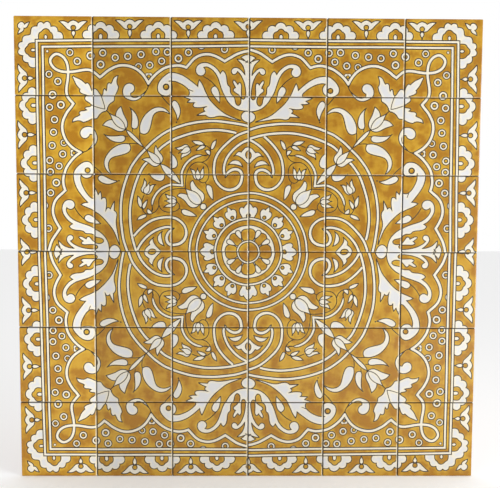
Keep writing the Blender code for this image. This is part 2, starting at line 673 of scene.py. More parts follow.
@dataclass(frozen=True)
class AcanthusPair:
    """Both hands of the broad leaf: the right one's arm lies lower than the left one's."""

    right: Acanthus
    left: Acanthus

    def paint(self, stencil: Stencil) -> None:
        """Lay the leaves, the line inside each scroll, its eye and the drop beside it."""
        right, left = self.right, self.left
        stencil.lay(Paint.WHITE, right=[Outline(*right.body)], left=[Outline(*left.body)])
        stencil.line(right=[right.curl], left=[left.curl])
        stencil.lay(Paint.OCHRE, right=[right.eye], pen=right.eye_pen)
        stencil.lay(Paint.OCHRE, left=[left.eye], pen=left.eye_pen)
        stencil.lay(Paint.WHITE, right=[Outline(right.drop)], left=[Outline(left.drop)])
        stencil.line(
            Disc(130.2, 235.8, 1.5),
            Ribbon((((158.6, 284.4), (152.0, 276.2), (146.0, 269.6), (141.0, 265.0)),), 1.7),
            left=[Ribbon((((108.0, 294.5), (104.0, 292.6), (100.0, 291.2)),), 1.4)],
        )


@dataclass(frozen=True)
class DiagonalSpray:
    """What grows along the diagonals: the lobed leaf, the hook, commas, drops, spindles and tulips."""

    leaf: Sequence[Run] = (
        ((257.0, 257.0), (254.6, 262.2), (251.6, 267.2), (247.2, 271.0), (242.6, 274.6), (242.0, 280.0),
         (239.6, 286.6), (236.6, 293.0), (235.0, 299.4)),
        ((237.4, 304.0), (237.6, 311.0), (235.4, 318.6)),
        ((240.4, 317.2), (244.4, 312.6), (246.6, 307.4), (248.4, 304.6)),
        ((251.8, 306.2), (254.8, 303.6), (255.6, 298.6), (257.0, 291.6)),
        ((260.4, 295.6), (262.4, 292.0), (263.2, 286.6), (265.8, 283.0)),
        ((270.4, 288.4), (274.2, 293.8), (277.6, 295.6), (281.0, 294.2), (283.4, 291.4)),
        ((285.2, 297.6), (288.0, 303.2), (291.2, 305.4), (294.0, 304.0)),
        ((297.6, 307.4), (303.0, 311.4), (309.0, 314.2), (313.4, 316.2), (316.6, 316.9), (317.8, 315.2)),
        ((259.4, 254.6),),
    )
    hook: Sequence[Run] = (
        ((185.0, 291.8), (190.5, 286.6), (197.0, 282.2), (203.5, 279.8), (209.4, 280.4), (213.0, 283.4),
         (213.4, 287.4)),
        ((210.0, 289.2), (207.1, 292.6), (206.0, 297.0), (207.8, 301.6), (211.8, 304.6), (216.6, 305.2),
         (221.8, 303.0), (225.8, 297.8), (227.5, 291.0), (226.6, 284.6), (222.4, 279.6), (216.0, 276.2),
         (208.2, 274.2), (200.2, 275.8), (192.6, 281.2), (185.0, 291.8)),
    )
    comma: Sequence[Run] = (
        ((141.6, 249.8), (148.0, 257.4), (155.0, 261.4), (162.4, 262.6), (170.0, 261.2), (178.0, 256.8),
         (185.6, 250.4), (191.6, 242.4), (195.6, 233.4), (197.2, 224.4), (196.4, 216.6)),
        ((189.6, 214.2), (184.0, 216.0), (180.2, 220.8), (177.4, 228.6), (175.4, 236.8), (173.4, 244.6),
         (170.0, 250.6), (164.0, 254.2), (156.6, 255.2), (149.4, 253.6), (141.6, 249.8)),
    )
    drop: Run = (
        (213.2, 260.6), (206.8, 254.4), (202.2, 247.4), (200.0, 239.6), (199.8, 231.4), (202.2, 225.8),
        (206.6, 223.7), (210.8, 225.6), (211.8, 231.4), (211.0, 239.4), (210.8, 247.4), (211.2, 254.0),
        (213.2, 260.6),
    )

    def paint(self, stencil: Stencil) -> None:
        """Lay the shapes from the outer corner inwards."""
        stencil.lay(Paint.WHITE, Outline(*self.leaf))
        veins = ((259.4, 259.4), (260.8, 267.0), (263.0, 274.4), (264.8, 280.0), (266.0, 284.0))
        stencil.line(Ribbon((veins,), 1.5))
        stencil.lay(Paint.WHITE, Outline(*self.hook))
        stencil.line(Ribbon((((181.2, 303.0), (182.0, 297.2), (185.4, 291.2)),), 1.6))
        stencil.lay(Paint.WHITE, Outline(*self.comma))
        stencil.line(Ribbon((((197.2, 217.0), (197.6, 209.4), (196.4, 201.0)),), 1.5))
        stencil.lay(Paint.WHITE, Outline(self.drop))
        stencil.line(
            Ribbon((((210.8, 225.0), (210.0, 218.4)),), 1.5),
            Ribbon((((212.6, 260.0), (215.2, 262.8)),), 1.7),
            Disc(142.6, 181.4, 1.3),
        )
        self._paint_tulips(stencil)

    def _paint_tulips(self, stencil: Stencil) -> None:
        """Lay the spindles and the two tulips, side petals under the middle one."""
        first = petal(
            (221.9, 221.9),
            [(214.3, 218.2), (206.6, 211.4), (199.2, 203.2), (194.4, 196.6)],
            (190.2, 190.2),
            [(196.6, 194.4), (203.2, 199.2), (211.4, 206.6), (218.2, 214.3)],
        )
        second = petal(
            (160.6, 160.6),
            [(151.8, 157.2), (142.6, 151.2), (133.6, 141.4), (127.4, 131.6)],
            (123.0, 123.0),
            [(131.6, 127.4), (141.4, 133.6), (151.2, 142.6), (157.2, 151.8)],
        )
        stencil.lay(Paint.WHITE, first, second)
        stencil.line(
            Ribbon((((190.4, 190.4), (184.6, 184.6)),), 1.8),
            Ribbon((((250.6, 250.6), (257.6, 257.6)),), 1.8),
        )
        side = petal(
            (222.6, 222.6),
            [(219.6, 229.0), (219.2, 234.6), (221.4, 241.0), (225.0, 248.0), (227.8, 255.6)],
            (230.4, 264.0),
            [(235.4, 259.6), (238.8, 254.4), (240.2, 248.6), (236.0, 238.0)],
        )
        small = petal(
            (160.6, 160.6),
            [(157.0, 165.6), (155.8, 169.6), (157.2, 175.0), (161.4, 180.6), (165.0, 186.4)],
            (168.4, 193.6),
            [(170.8, 187.6), (171.2, 182.0), (170.0, 174.0)],
        )
        stencil.lay(Paint.WHITE, side, small)
        middle = petal(
            (223.0, 223.0),
            [(224.2, 228.6), (227.2, 235.4), (232.4, 241.4), (239.4, 246.0), (246.6, 248.8)],
            (252.4, 252.4),
            [(248.8, 246.6), (246.0, 239.4), (241.4, 232.4), (235.4, 227.2), (228.6, 224.2)],
        )
        heart = petal(
            (161.0, 161.0),
            [(161.4, 166.6), (164.4, 172.6), (170.0, 177.6), (177.0, 181.0)],
            (184.6, 184.6),
            [(181.0, 177.0), (177.6, 170.0), (172.6, 164.4), (166.6, 161.4)],
        )
        stencil.lay(Paint.WHITE, middle, heart, pen=1.6)


@dataclass(frozen=True)
class RingHand:
    """One hand of the big ring: its two white lines, and those of the scroll that branches off it."""

    outer: Run
    inner: Run
    scroll_outer: Run
    scroll_inner: Run
    width: float = 5.2

    def shapes(self) -> list[Shape]:
        """Give the ring's lines and the scroll's, which turns back in a pointed hook."""
        scroll = [*self.scroll_outer, (62.8, 155.0), (62.8, 141.0), (60.2, 131.6), (56.0, 125.0), (50.0, 119.0)]
        hook = [(43.0, 115.2), (35.0, 113.8), (27.0, 115.2), (20.0, 119.4), (15.0, 126.0), (12.8, 134.0)]
        curl = [(12.4, 141.0), (14.6, 146.4), (19.6, 149.8), (25.6, 150.6), (32.0, 148.6), (38.0, 144.2)]
        tip = [(43.8, 134.6)]
        widths = [self.width] * len(scroll) + [5.2, 5.8, 6.2, 6.2, 6.0, 5.8, 5.8, 6.0, 6.0, 6.0, 5.8, 4.8, 0.0]
        return [
            Ribbon((self.outer,), self.width),
            Ribbon((self.inner,), self.width),
            Ribbon(([*scroll, *hook, *curl, *tip],), widths),
            Ribbon((self.scroll_inner,), self.width),
        ]


@dataclass(frozen=True)
class Ring:
    """The big ring of two interlaced ribbons: at each seam the right hand passes over the left one."""

    right: RingHand
    left: RingHand

    def paint(self, stencil: Stencil) -> None:
        """Lay all its lines at once, so that they run into each other."""
        stencil.lay(Paint.WHITE, right=self.right.shapes(), left=self.left.shapes())


@dataclass(frozen=True)
class FanPalmette:
    """The small fan under the crossing of the ring's ribbons."""

    def paint(self, stencil: Stencil) -> None:
        """Lay the flower, its heart and the crescent below it."""
        flower = Outline.mirrored(
            0.0,
            [(0.0, 190.8), (5.0, 189.8), (9.0, 186.4), (13.0, 181.4)],
            [(17.0, 182.4), (21.0, 180.2), (25.0, 175.6)],
            [(20.0, 175.2), (15.0, 173.0), (8.6, 168.2), (4.0, 163.6), (0.0, 160.0)],
        )
        stencil.lay(Paint.WHITE, flower)
        stencil.lay(Paint.OCHRE, Disc(0.0, 176.8, 5.2, 7.2))
        crescent = Outline(
            [(11.0, 155.6), (13.4, 161.0), (18.0, 165.4), (24.0, 167.0), (30.0, 165.4), (34.0, 162.2), (36.8, 159.2)],
            [(31.0, 160.0), (25.0, 159.4), (18.0, 157.8), (11.0, 155.6)],
        )
        stencil.lay(Paint.WHITE, crescent)
        stencil.line(Disc(26.5, 174.5, 1.4), Disc(37.4, 158.2, 1.2), Disc(10.4, 154.6, 1.0))


@dataclass(frozen=True)
class InnerSprays:
    """The leaves, small tulips and vines between the ring and the rosette."""

    long_vine: Run = (
        (104.6, 190.0), (98.0, 193.2), (90.0, 194.8), (82.0, 194.8), (75.6, 192.8), (70.6, 188.8), (68.8, 183.0),
        (70.4, 176.0), (74.4, 169.6), (80.0, 165.4), (86.0, 163.7), (93.0, 163.9), (100.0, 161.4), (106.0, 156.4),
        (110.4, 149.4), (113.4, 141.0), (115.2, 130.0), (115.6, 116.0),
    )
    short_vine: Run = (
        (86.0, 163.7), (79.6, 161.0), (74.9, 156.0), (72.6, 148.4), (72.6, 141.0), (74.6, 133.0), (78.6, 127.8),
        (83.6, 126.2), (88.0, 127.8), (91.6, 131.6),
    )
    band: Run = (
        (83.0, 176.2), (88.6, 175.8), (95.4, 174.2), (102.0, 171.0), (108.4, 166.4), (114.0, 160.4), (118.6, 153.0),
        (121.4, 146.0), (122.6, 140.0), (122.0, 130.0), (121.6, 119.4),
    )
    band_width: float = 4.8
    tips: Run = (
        (133.4, 189.5), (127.0, 180.0), (122.6, 169.2), (81.8, 155.2), (93.0, 152.8), (105.4, 151.8), (115.8, 116.0),
    )

    def paint(self, stencil: Stencil) -> None:
        """Lay the vines, then the bands, leaves, tulips and drops over them."""
        stencil.line(
            Ribbon((self.long_vine,), 1.6),
            Ribbon((self.short_vine,), 1.6),
            Ribbon((((73.8, 177.0), (78.0, 175.8), (84.0, 176.2)),), (1.6, 2.6, 1.4)),
            Ribbon((((79.4, 127.4), (76.8, 122.0)),), 1.4),
        )
        widths = [0.0, 3.8, *[self.band_width] * (len(self.band) - 2)]
        stencil.lay(Paint.WHITE, Ribbon((self.band,), widths))
        self._paint_leaves(stencil)
        self._paint_small_tulips(stencil)
        self._paint_tulip(stencil)

    def _paint_leaves(self, stencil: Stencil) -> None:
        """Lay the single leaves and drops."""
        stencil.lay(
            Paint.WHITE,
            petal(
                (68.8, 187.6), [(65.6, 186.8), (62.2, 190.6), (59.6, 196.6)], (58.6, 203.8),
                [(63.8, 200.6), (67.4, 194.4)],
            ),
            petal(
                (80.4, 196.3), [(84.0, 199.6), (89.0, 201.9), (95.0, 202.4)], (102.4, 202.0),
                [(97.4, 197.6), (91.6, 195.0), (86.0, 194.6)],
            ),
            petal(
                (78.4, 192.2), [(82.0, 194.0), (87.0, 193.0), (91.2, 189.6)], (95.4, 184.8),
                [(90.0, 185.6), (84.0, 187.4), (80.0, 189.8)],
            ),
            petal(
                (70.3, 176.0), [(69.6, 180.0), (70.8, 184.4), (74.4, 185.6)], (79.0, 184.4),
                [(76.4, 180.6), (73.4, 177.6)],
            ),
        )
        stencil.lay(
            Paint.WHITE,
            Outline(
                [(72.4, 122.4), (68.4, 119.2), (66.0, 112.4), (65.2, 104.6), (65.2, 95.0)],
                [(69.6, 99.6), (73.6, 106.0), (76.4, 112.4), (77.6, 118.8), (76.0, 122.2), (72.4, 122.4)],
            ),
            Outline(
                [(141.2, 179.8), (134.6, 174.2), (130.8, 167.6), (129.4, 160.8), (131.4, 155.4), (136.0, 153.0),
                 (141.2, 152.8)],
            ),
        )

    def _paint_small_tulips(self, stencil: Stencil) -> None:
        """Lay the two small tulips, side petals first, with a dot of the pen at each tip."""
        stencil.lay(
            Paint.WHITE,
            petal(
                (106.4, 187.6), [(109.0, 193.0), (114.0, 195.8), (120.0, 193.4), (126.0, 191.0)], (132.2, 189.8),
                [(127.0, 186.0), (121.6, 186.8), (115.0, 186.0)],
            ),
            petal(
                (105.2, 186.0), [(105.4, 182.4), (108.0, 178.8), (113.0, 175.6), (118.0, 173.4)], (122.6, 170.8),
                [(122.2, 176.0), (119.0, 180.0), (112.0, 184.0)],
            ),
            petal(
                (91.6, 131.6), [(85.2, 134.4), (81.8, 140.0), (81.6, 147.0)], (82.2, 154.0),
                [(86.2, 148.6), (88.4, 142.0)],
            ),
            petal(
                (92.4, 131.6), [(98.6, 133.4), (101.6, 138.6), (102.6, 144.0)], (105.4, 150.8),
                [(99.0, 148.8), (96.0, 142.0)],
            ),
        )
        stencil.lay(
            Paint.WHITE,
            petal(
                (105.8, 186.6), [(108.4, 190.6), (113.0, 191.4), (117.6, 188.6), (121.0, 184.6)], (125.4, 181.8),
                [(121.0, 180.2), (115.0, 180.2), (109.4, 182.4)],
            ),
            petal(
                (92.0, 131.6), [(88.2, 135.6), (87.8, 140.4), (90.2, 145.8)], (93.0, 151.2),
                [(95.6, 145.6), (97.0, 140.0), (96.2, 135.4)],
            ),
            pen=1.5,
        )
        stencil.line(*[Disc(x, z, 1.3) for x, z in self.tips])

    def _paint_tulip(self, stencil: Stencil) -> None:
        """Lay the tulip on the rosette's rim, with the round white bead it grows from."""
        stencil.lay(Paint.WHITE, Disc(82.9, 82.9, 5.6))
        side = petal(
            (87.6, 89.0),
            [(82.4, 94.6), (80.8, 101.0), (82.4, 106.6), (87.0, 111.6), (93.2, 116.6), (98.0, 122.6)],
            (102.0, 130.4),
            [(105.6, 127.4), (106.6, 121.0), (105.2, 114.6), (100.0, 105.0)],
        )
        stencil.lay(Paint.WHITE, side)
        middle = petal(
            (88.0, 88.0),
            [(86.6, 93.6), (88.6, 100.0), (93.6, 106.4), (100.6, 110.6), (108.0, 112.6)],
            (115.6, 115.6),
            [(112.6, 108.0), (110.6, 100.6), (106.4, 93.6), (100.0, 88.6), (93.6, 86.6)],
        )
        stencil.lay(Paint.WHITE, middle, pen=1.6)


@dataclass(frozen=True)
class Rosette:
    """The round middle: white rings, a wreath of blossoms and an eight-petalled flower."""

    rings: tuple[tuple[float, float], ...] = ((107.9, 4.6), (95.0, 4.3), (60.9, 4.5))
    flower_rim: float = 48.9
    small_blossoms: tuple[float, ...] = (25.0, 45.2)
    pen: float = 1.7

    def paint(self, stencil: Stencil) -> None:
        """Lay the rings from outside to inside, each as a white disc with an ochre one over it."""
        for radius, width in self.rings:
            stencil.lay(Paint.WHITE, Disc(0.0, 0.0, radius + width / 2.0), pen=self.pen)
            stencil.lay(Paint.OCHRE, Disc(0.0, 0.0, radius - width / 2.0), pen=self.pen)
            if radius == self.rings[1][0]:
                self._paint_wreath(stencil)
        stencil.lay(Paint.WHITE, Disc(0.0, 0.0, self.flower_rim), pen=self.pen)
        self._paint_flower(stencil)

    def _paint_wreath(self, stencil: Stencil) -> None:
        """Lay the blossoms, a broad one on each seam and three between, each with a dot at its foot."""
        broad = Outline.mirrored(
            0.0,
            [(0.0, 89.8), (4.2, 87.2), (8.8, 80.8)],
            [(11.6, 82.4), (15.2, 80.8), (16.6, 76.6), (15.0, 70.4), (11.8, 64.6), (10.8, 61.0)],
            [(0.0, 61.0)],
        )
        small = Outline.mirrored(
            0.0,
            [(0.0, 91.0), (2.4, 87.4), (4.0, 82.8)],
            [(6.6, 83.4), (9.4, 81.4), (10.8, 77.4), (9.8, 72.6), (7.2, 68.0), (3.8, 64.4), (0.0, 63.4)],
        )
        smalls = [small.turned(turn) for turn in self.small_blossoms]
        stencil.lay(Paint.WHITE, broad, *smalls)
        eyes = [Disc(0.0, 69.4, 3.1).turned(turn) for turn in self.small_blossoms]
        stencil.lay(Paint.OCHRE, Disc(0.0, 66.8, 3.9, 3.4), *eyes, pen=1.9)

    def _paint_flower(self, stencil: Stencil) -> None:
        """Lay the ochre petals on the white ground, the drops between them and the small ring."""
        broad = Outline.mirrored(
            0.0, [(0.0, 42.6), (6.4, 42.0), (11.6, 38.8), (13.4, 32.6), (11.8, 26.0), (8.2, 20.4), (0.0, 17.0)]
        )
        narrow = Outline.mirrored(
            0.0, [(0.0, 45.0), (5.0, 43.4), (8.6, 39.2), (9.4, 33.6), (8.0, 27.4), (5.2, 21.4), (0.0, 18.0)]
        )
        drop = Outline.mirrored(
            0.0, [(0.0, 44.4), (3.2, 43.2), (4.5, 40.0), (3.6, 35.0), (2.0, 30.4), (0.0, 27.0)]
        )
        stencil.lay(Paint.OCHRE, broad, narrow.turned(45.0), pen=self.pen)
        stencil.lay(Paint.WHITE, drop.turned(28.4), pen=self.pen)
        stencil.lay(Paint.WHITE, Disc(0.0, 0.0, 21.6), pen=self.pen)
        stencil.lay(Paint.OCHRE, Disc(0.0, 0.0, 17.9), pen=self.pen)


RIGHT_ACANTHUS = Acanthus(
    body=(
        ((12.0, 236.6), (24.0, 241.2), (38.0, 246.8), (48.0, 253.4), (57.0, 260.8), (64.5, 267.6), (70.5, 274.8),
         (75.0, 282.0), (78.6, 289.0), (81.6, 296.0), (83.8, 301.0), (86.3, 305.8)),
        ((89.0, 300.0), (90.0, 293.0)),
        ((95.0, 297.6), (101.0, 302.7), (108.0, 308.0), (116.0, 312.8), (124.0, 316.0), (132.0, 317.9),
         (140.0, 318.5), (146.0, 317.8), (151.0, 315.0), (156.0, 310.6), (160.6, 305.0), (163.8, 298.6),
         (164.2, 291.6), (160.8, 286.0), (154.8, 282.8), (148.0, 282.0), (141.4, 283.6), (136.6, 287.4),
         (134.4, 293.0), (135.0, 298.6), (137.6, 302.4), (140.4, 304.6)),
        ((134.0, 305.6), (127.0, 304.6), (120.0, 302.2), (113.0, 298.8), (106.0, 294.2), (100.6, 289.6),
         (97.4, 285.0), (98.0, 281.2)),
        ((107.0, 280.4), (116.8, 279.4)),
        ((110.0, 276.2), (104.6, 274.2)),
        ((107.6, 272.0), (110.6, 270.0)),
        ((104.0, 268.4), (95.8, 268.6)),
        ((99.4, 265.4), (99.2, 261.8), (94.0, 259.6), (86.0, 259.4), (73.6, 261.6)),
        ((79.0, 259.4), (81.2, 256.2), (78.6, 252.4)),
        ((85.0, 249.4), (93.4, 244.6)),
        ((86.0, 245.2), (76.0, 245.8)),
        ((73.6, 242.6), (70.0, 241.0), (60.0, 242.0), (48.0, 242.0), (34.0, 239.8), (12.0, 236.6)),
    ),
    drop=(
        (129.2, 238.4), (131.0, 246.0), (133.6, 253.0), (137.4, 260.0), (139.9, 266.4), (138.8, 271.4),
        (134.9, 273.8), (129.2, 270.2), (125.2, 262.6), (124.0, 254.6), (125.8, 247.0), (129.2, 238.4),
    ),
    eye=Disc(148.4, 293.0, 4.6),
    eye_pen=1.9,
    curl=Ribbon((((140.4, 305.0), (143.4, 304.9)),), (1.5, 0.6)),
)
LEFT_ACANTHUS = Acanthus(
    body=(
        ((12.4, 238.4), (22.0, 241.8), (32.0, 245.8), (41.0, 250.2), (49.0, 255.8), (57.0, 262.4), (64.4, 270.0),
         (70.4, 277.0), (75.0, 284.6), (78.6, 292.0), (81.6, 299.4), (85.0, 306.0), (88.9, 311.4)),
        ((91.0, 305.6), (91.4, 299.4)),
        ((97.0, 304.2), (104.0, 309.6), (111.0, 314.8), (119.0, 319.6), (128.0, 323.0), (136.0, 324.6),
         (143.0, 323.8), (150.0, 319.6), (155.6, 314.8), (160.6, 309.0), (163.8, 302.4), (164.6, 295.4),
         (162.4, 288.6), (157.0, 284.2), (150.0, 282.6), (143.4, 284.0), (139.6, 288.6), (138.2, 295.0),
         (138.4, 301.0), (139.4, 306.0), (141.6, 309.2)),
        ((134.0, 309.2), (126.0, 306.6), (118.0, 302.4), (111.6, 297.4), (107.8, 292.4), (107.0, 287.4),
         (108.6, 283.0)),
        ((112.0, 282.2), (117.0, 281.4)),
        ((110.6, 279.0), (104.8, 277.0)),
        ((107.4, 274.4), (110.4, 271.6)),
        ((104.0, 271.0), (96.0, 271.2)),
        ((99.6, 267.8), (99.2, 264.0), (94.0, 262.2), (86.0, 262.2), (74.0, 264.2)),
        ((79.0, 262.0), (81.0, 258.8), (78.4, 255.4)),
        ((86.0, 252.0), (94.0, 247.8)),
        ((86.0, 248.4), (77.0, 248.6)),
        ((74.0, 245.8), (69.0, 244.2), (62.0, 244.8), (54.0, 246.6), (45.0, 246.2), (34.0, 243.2), (22.0, 239.8),
         (12.4, 238.4)),
    ),
    drop=(
        (128.6, 239.6), (129.8, 247.0), (132.8, 255.0), (136.8, 263.0), (138.2, 270.0), (134.6, 274.6),
        (129.4, 272.4), (125.2, 265.6), (123.2, 257.4), (124.4, 248.6), (128.6, 239.6),
    ),
    eye=Disc(149.0, 298.6, 4.9),
    eye_pen=2.4,
    curl=Ribbon((((139.4, 309.6), (144.6, 308.6)),), (2.4, 1.6)),
)
RIGHT_RING = RingHand(
    outer=((0.75, 222.8), (10.0, 225.8), (20.0, 228.8), (40.0, 231.9), (60.0, 233.6), (80.0, 233.4), (100.0, 231.6),
           (120.0, 226.9), (141.0, 219.8), (155.0, 213.8), (165.0, 207.2), (175.0, 199.3), (187.6, 186.8)),
    inner=((0.75, 206.4), (10.0, 209.2), (20.0, 211.9), (40.0, 215.4), (60.0, 216.8), (80.0, 216.4), (100.0, 213.1),
           (120.0, 207.6), (141.0, 199.6), (151.0, 194.8), (160.6, 187.6), (166.0, 181.6)),
    scroll_outer=((28.6, 211.0), (35.0, 205.4), (42.0, 198.6), (50.0, 189.0), (57.0, 178.0), (61.0, 166.6)),
    scroll_inner=((3.0, 204.6), (10.0, 201.0), (20.0, 194.0), (30.0, 184.0), (37.4, 173.6), (42.6, 161.6),
                  (45.2, 151.0), (45.2, 145.0), (43.8, 140.6)),
)
LEFT_RING = RingHand(
    outer=((-1.0, 228.4), (10.0, 231.0), (20.0, 232.9), (40.0, 235.8), (60.0, 237.8), (80.0, 237.2), (100.0, 234.6),
           (120.0, 229.8), (138.0, 223.4), (155.0, 214.6), (165.0, 207.6), (175.0, 199.5), (187.6, 186.8)),
    inner=((22.0, 216.0), (30.0, 218.2), (40.0, 220.0), (60.0, 221.6), (80.0, 220.3), (100.0, 216.8), (120.0, 210.9),
           (138.0, 203.8), (151.0, 195.6), (160.6, 188.0), (166.0, 182.0)),
    scroll_outer=((-1.0, 219.4), (10.0, 216.2), (20.0, 211.8), (30.0, 205.2), (40.0, 196.6), (50.0, 186.6),
                  (57.2, 176.4), (61.4, 165.4)),
    scroll_inner=((-1.0, 203.6), (10.0, 199.2), (20.0, 192.8), (30.0, 183.7), (38.0, 173.4), (43.2, 161.6),
                  (45.0, 151.0), (44.6, 145.0), (43.2, 140.6)),
)


def whole_painting() -> Stencil:
    """Paint the whole stencil.

    Returns:
        The stencil with every coat in its order.
    """
    stencil = Stencil(pen=1.7)
    steps = (
        BorderFlowers(),
        BorderBells(),
        CornerSprig(),
        Eyelets(),
        BorderLines(),
        ScallopedLine(),
        SidePalmette(),
        AcanthusPair(RIGHT_ACANTHUS, LEFT_ACANTHUS),
        Ring(RIGHT_RING, LEFT_RING),
        DiagonalSpray(),
        FanPalmette(),
        InnerSprays(),
        Rosette(),
    )
    for step in steps:
        step.paint(stencil)
        log.info("painted %s", type(step).__name__)
    return stencil


@dataclass(frozen=True)
class TileSize:
    """The sizes of one fired tile, in millimetres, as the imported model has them."""

    half: float = 70.0
    thickness: float = 8.0
    joint: float = 0.4
    glaze_round: float = 1.2
    corner: float = 1.8
    lean: float = 0.6
    belly: float = 0.19
    belly_depth: float = 3.4
    groove_margin: float = 12.0
    groove_width: float = 9.0
    groove_rib: float = 8.0
    groove_depth: float = 1.4
    groove_lean: float = 0.8
    grid: float = 3.6
    border_steps: tuple[float, ...] = (0.0, 0.4, 0.8, 1.2, 2.6)

    @property
    def pitch(self) -> float:
        """The distance between the middles of two tiles."""
        return 2.0 * self.half + self.joint


@dataclass(frozen=True)
class Slip:
    """How far a tile's painting sits off the stencil: a turn in degrees and a shift, over both hands.

    The shift grows by an even step from tile to tile, and the four middle tiles turn the other way.
    """

    TURN = 1.0
    MIDDLE_TURN = -0.4
    STEP_SIDEWAYS = -1.0
    STEP_UPWARDS = 1.4

    turn: float
    x: float
    z: float

    @classmethod
    def of(cls, column: int, row: int) -> "Slip":
        """Give the slip of one tile.

        Args:
            column: How many tiles it is from the middle, sideways.
            row: How many tiles it is from the middle, upwards.

        Returns:
            Its slip.
        """
        turn = cls.MIDDLE_TURN if row == 0 else cls.TURN
        return cls(turn, cls.STEP_SIDEWAYS * (row + 0.5), cls.STEP_UPWARDS * column)


def clipped(start: np.ndarray, end: np.ndarray, half: float) -> tuple[np.ndarray, np.ndarray]:
    """Cut edges to a square about the origin.

    Each edge is start + t (end - start); the four sides narrow t to what lies inside.

    Args:
        start: The edges' first points.
        end: Their second points.
        half: Half the side of the square.

    Returns:
        The first and second points of what is left of them.
    """
    step = end - start
    low = np.zeros(len(start))
    high = np.ones(len(start))
    for axis in (0, 1):
        for sign in (1.0, -1.0):
            room = half - sign * start[:, axis]
            pace = sign * step[:, axis]
            moving = np.abs(pace) > 1e-12
            reach = np.divide(room, pace, out=np.full(len(room), np.inf), where=moving)
            high = np.where(moving & (pace > 0.0), np.minimum(high, reach), high)
            low = np.where(moving & (pace < 0.0), np.maximum(low, reach), low)
            high = np.where(~moving & (room < 0.0), -1.0, high)
    kept = high - low > 1e-6
    low = low[kept, None]
    high = high[kept, None]
    return start[kept] + low * step[kept], start[kept] + high * step[kept]


def covers(loop: np.ndarray, spots: np.ndarray) -> np.ndarray:
    """Tell which spots lie inside a closed outline, by how often it winds round them in its own direction.

    Where a sharp tip was moved inwards past itself, the outline winds the other way, and nothing is inside.

    Args:
        loop: The outline.
        spots: The spots.

    Returns:
        True for each spot inside.
    """
    near = np.flatnonzero(np.all((spots > loop.min(axis=0)) & (spots < loop.max(axis=0)), axis=1))
    found = np.zeros(len(spots), bool)
    if not len(near):
        return found
    x = spots[near, 0][:, None]
    z = spots[near, 1][:, None]
    x0, z0 = loop.T
    x1, z1 = np.roll(loop, -1, axis=0).T
    side = (x1 - x0) * (z - z0) - (x - x0) * (z1 - z0)
    up = (z0 <= z) & (z1 > z) & (side > 0.0)
    down = (z0 > z) & (z1 <= z) & (side < 0.0)
    area = np.sum(x0 * z1 - x1 * z0)
    found[near] = (up.sum(axis=1) - down.sum(axis=1)) * area > 0.0
    return found


def flat_net(
    points: np.ndarray, edges: np.ndarray, tolerance: float = 1e-4
) -> tuple[np.ndarray, np.ndarray]:
    """Net a flat area with triangles that keep the given edges.

    Args:
        points: The points.
        edges: Pairs of their numbers.
        tolerance: Points nearer than this become one.

    Returns:
        The net's points and its triangles, counter-clockwise.
    """
    net = delaunay_2d_cdt([Vector(p) for p in points.tolist()], edges.tolist(), [], 0, tolerance, False)
    spots = np.array([(v.x, v.y) for v in net[0]])
    triangles = np.array([list(face) for face in net[2]])
    a, b, c = spots[triangles[:, 0]], spots[triangles[:, 1]], spots[triangles[:, 2]]
    area = (b[:, 0] - a[:, 0]) * (c[:, 1] - a[:, 1]) - (b[:, 1] - a[:, 1]) * (c[:, 0] - a[:, 0])
    triangles = triangles[np.abs(area) > 1e-9]
    area = area[np.abs(area) > 1e-9]
    triangles[area < 0.0] = triangles[area < 0.0][:, ::-1]
    return spots, triangles


@dataclass
class PaintedSheet:
    """The painted face of one tile before it is put on the clay: a flat net with a paint on each triangle."""

    spots: np.ndarray
    triangles: np.ndarray
    paints: np.ndarray
    rims: np.ndarray

    def turned(self, quarter_turns: int, mirrored: bool) -> "PaintedSheet":
        """Turn the sheet clockwise by quarters, after mirroring it if asked.

        Args:
            quarter_turns: How many.
            mirrored: True to mirror it left to right first.

        Returns:
            The turned sheet.
        """
        spots = self.spots * np.array([-1.0 if mirrored else 1.0, 1.0])
        for _ in range(quarter_turns):
            spots = np.stack([spots[:, 1], -spots[:, 0]], axis=1)
        triangles = self.triangles[:, ::-1] if mirrored else self.triangles
        return PaintedSheet(spots, triangles, self.paints, self.rims)


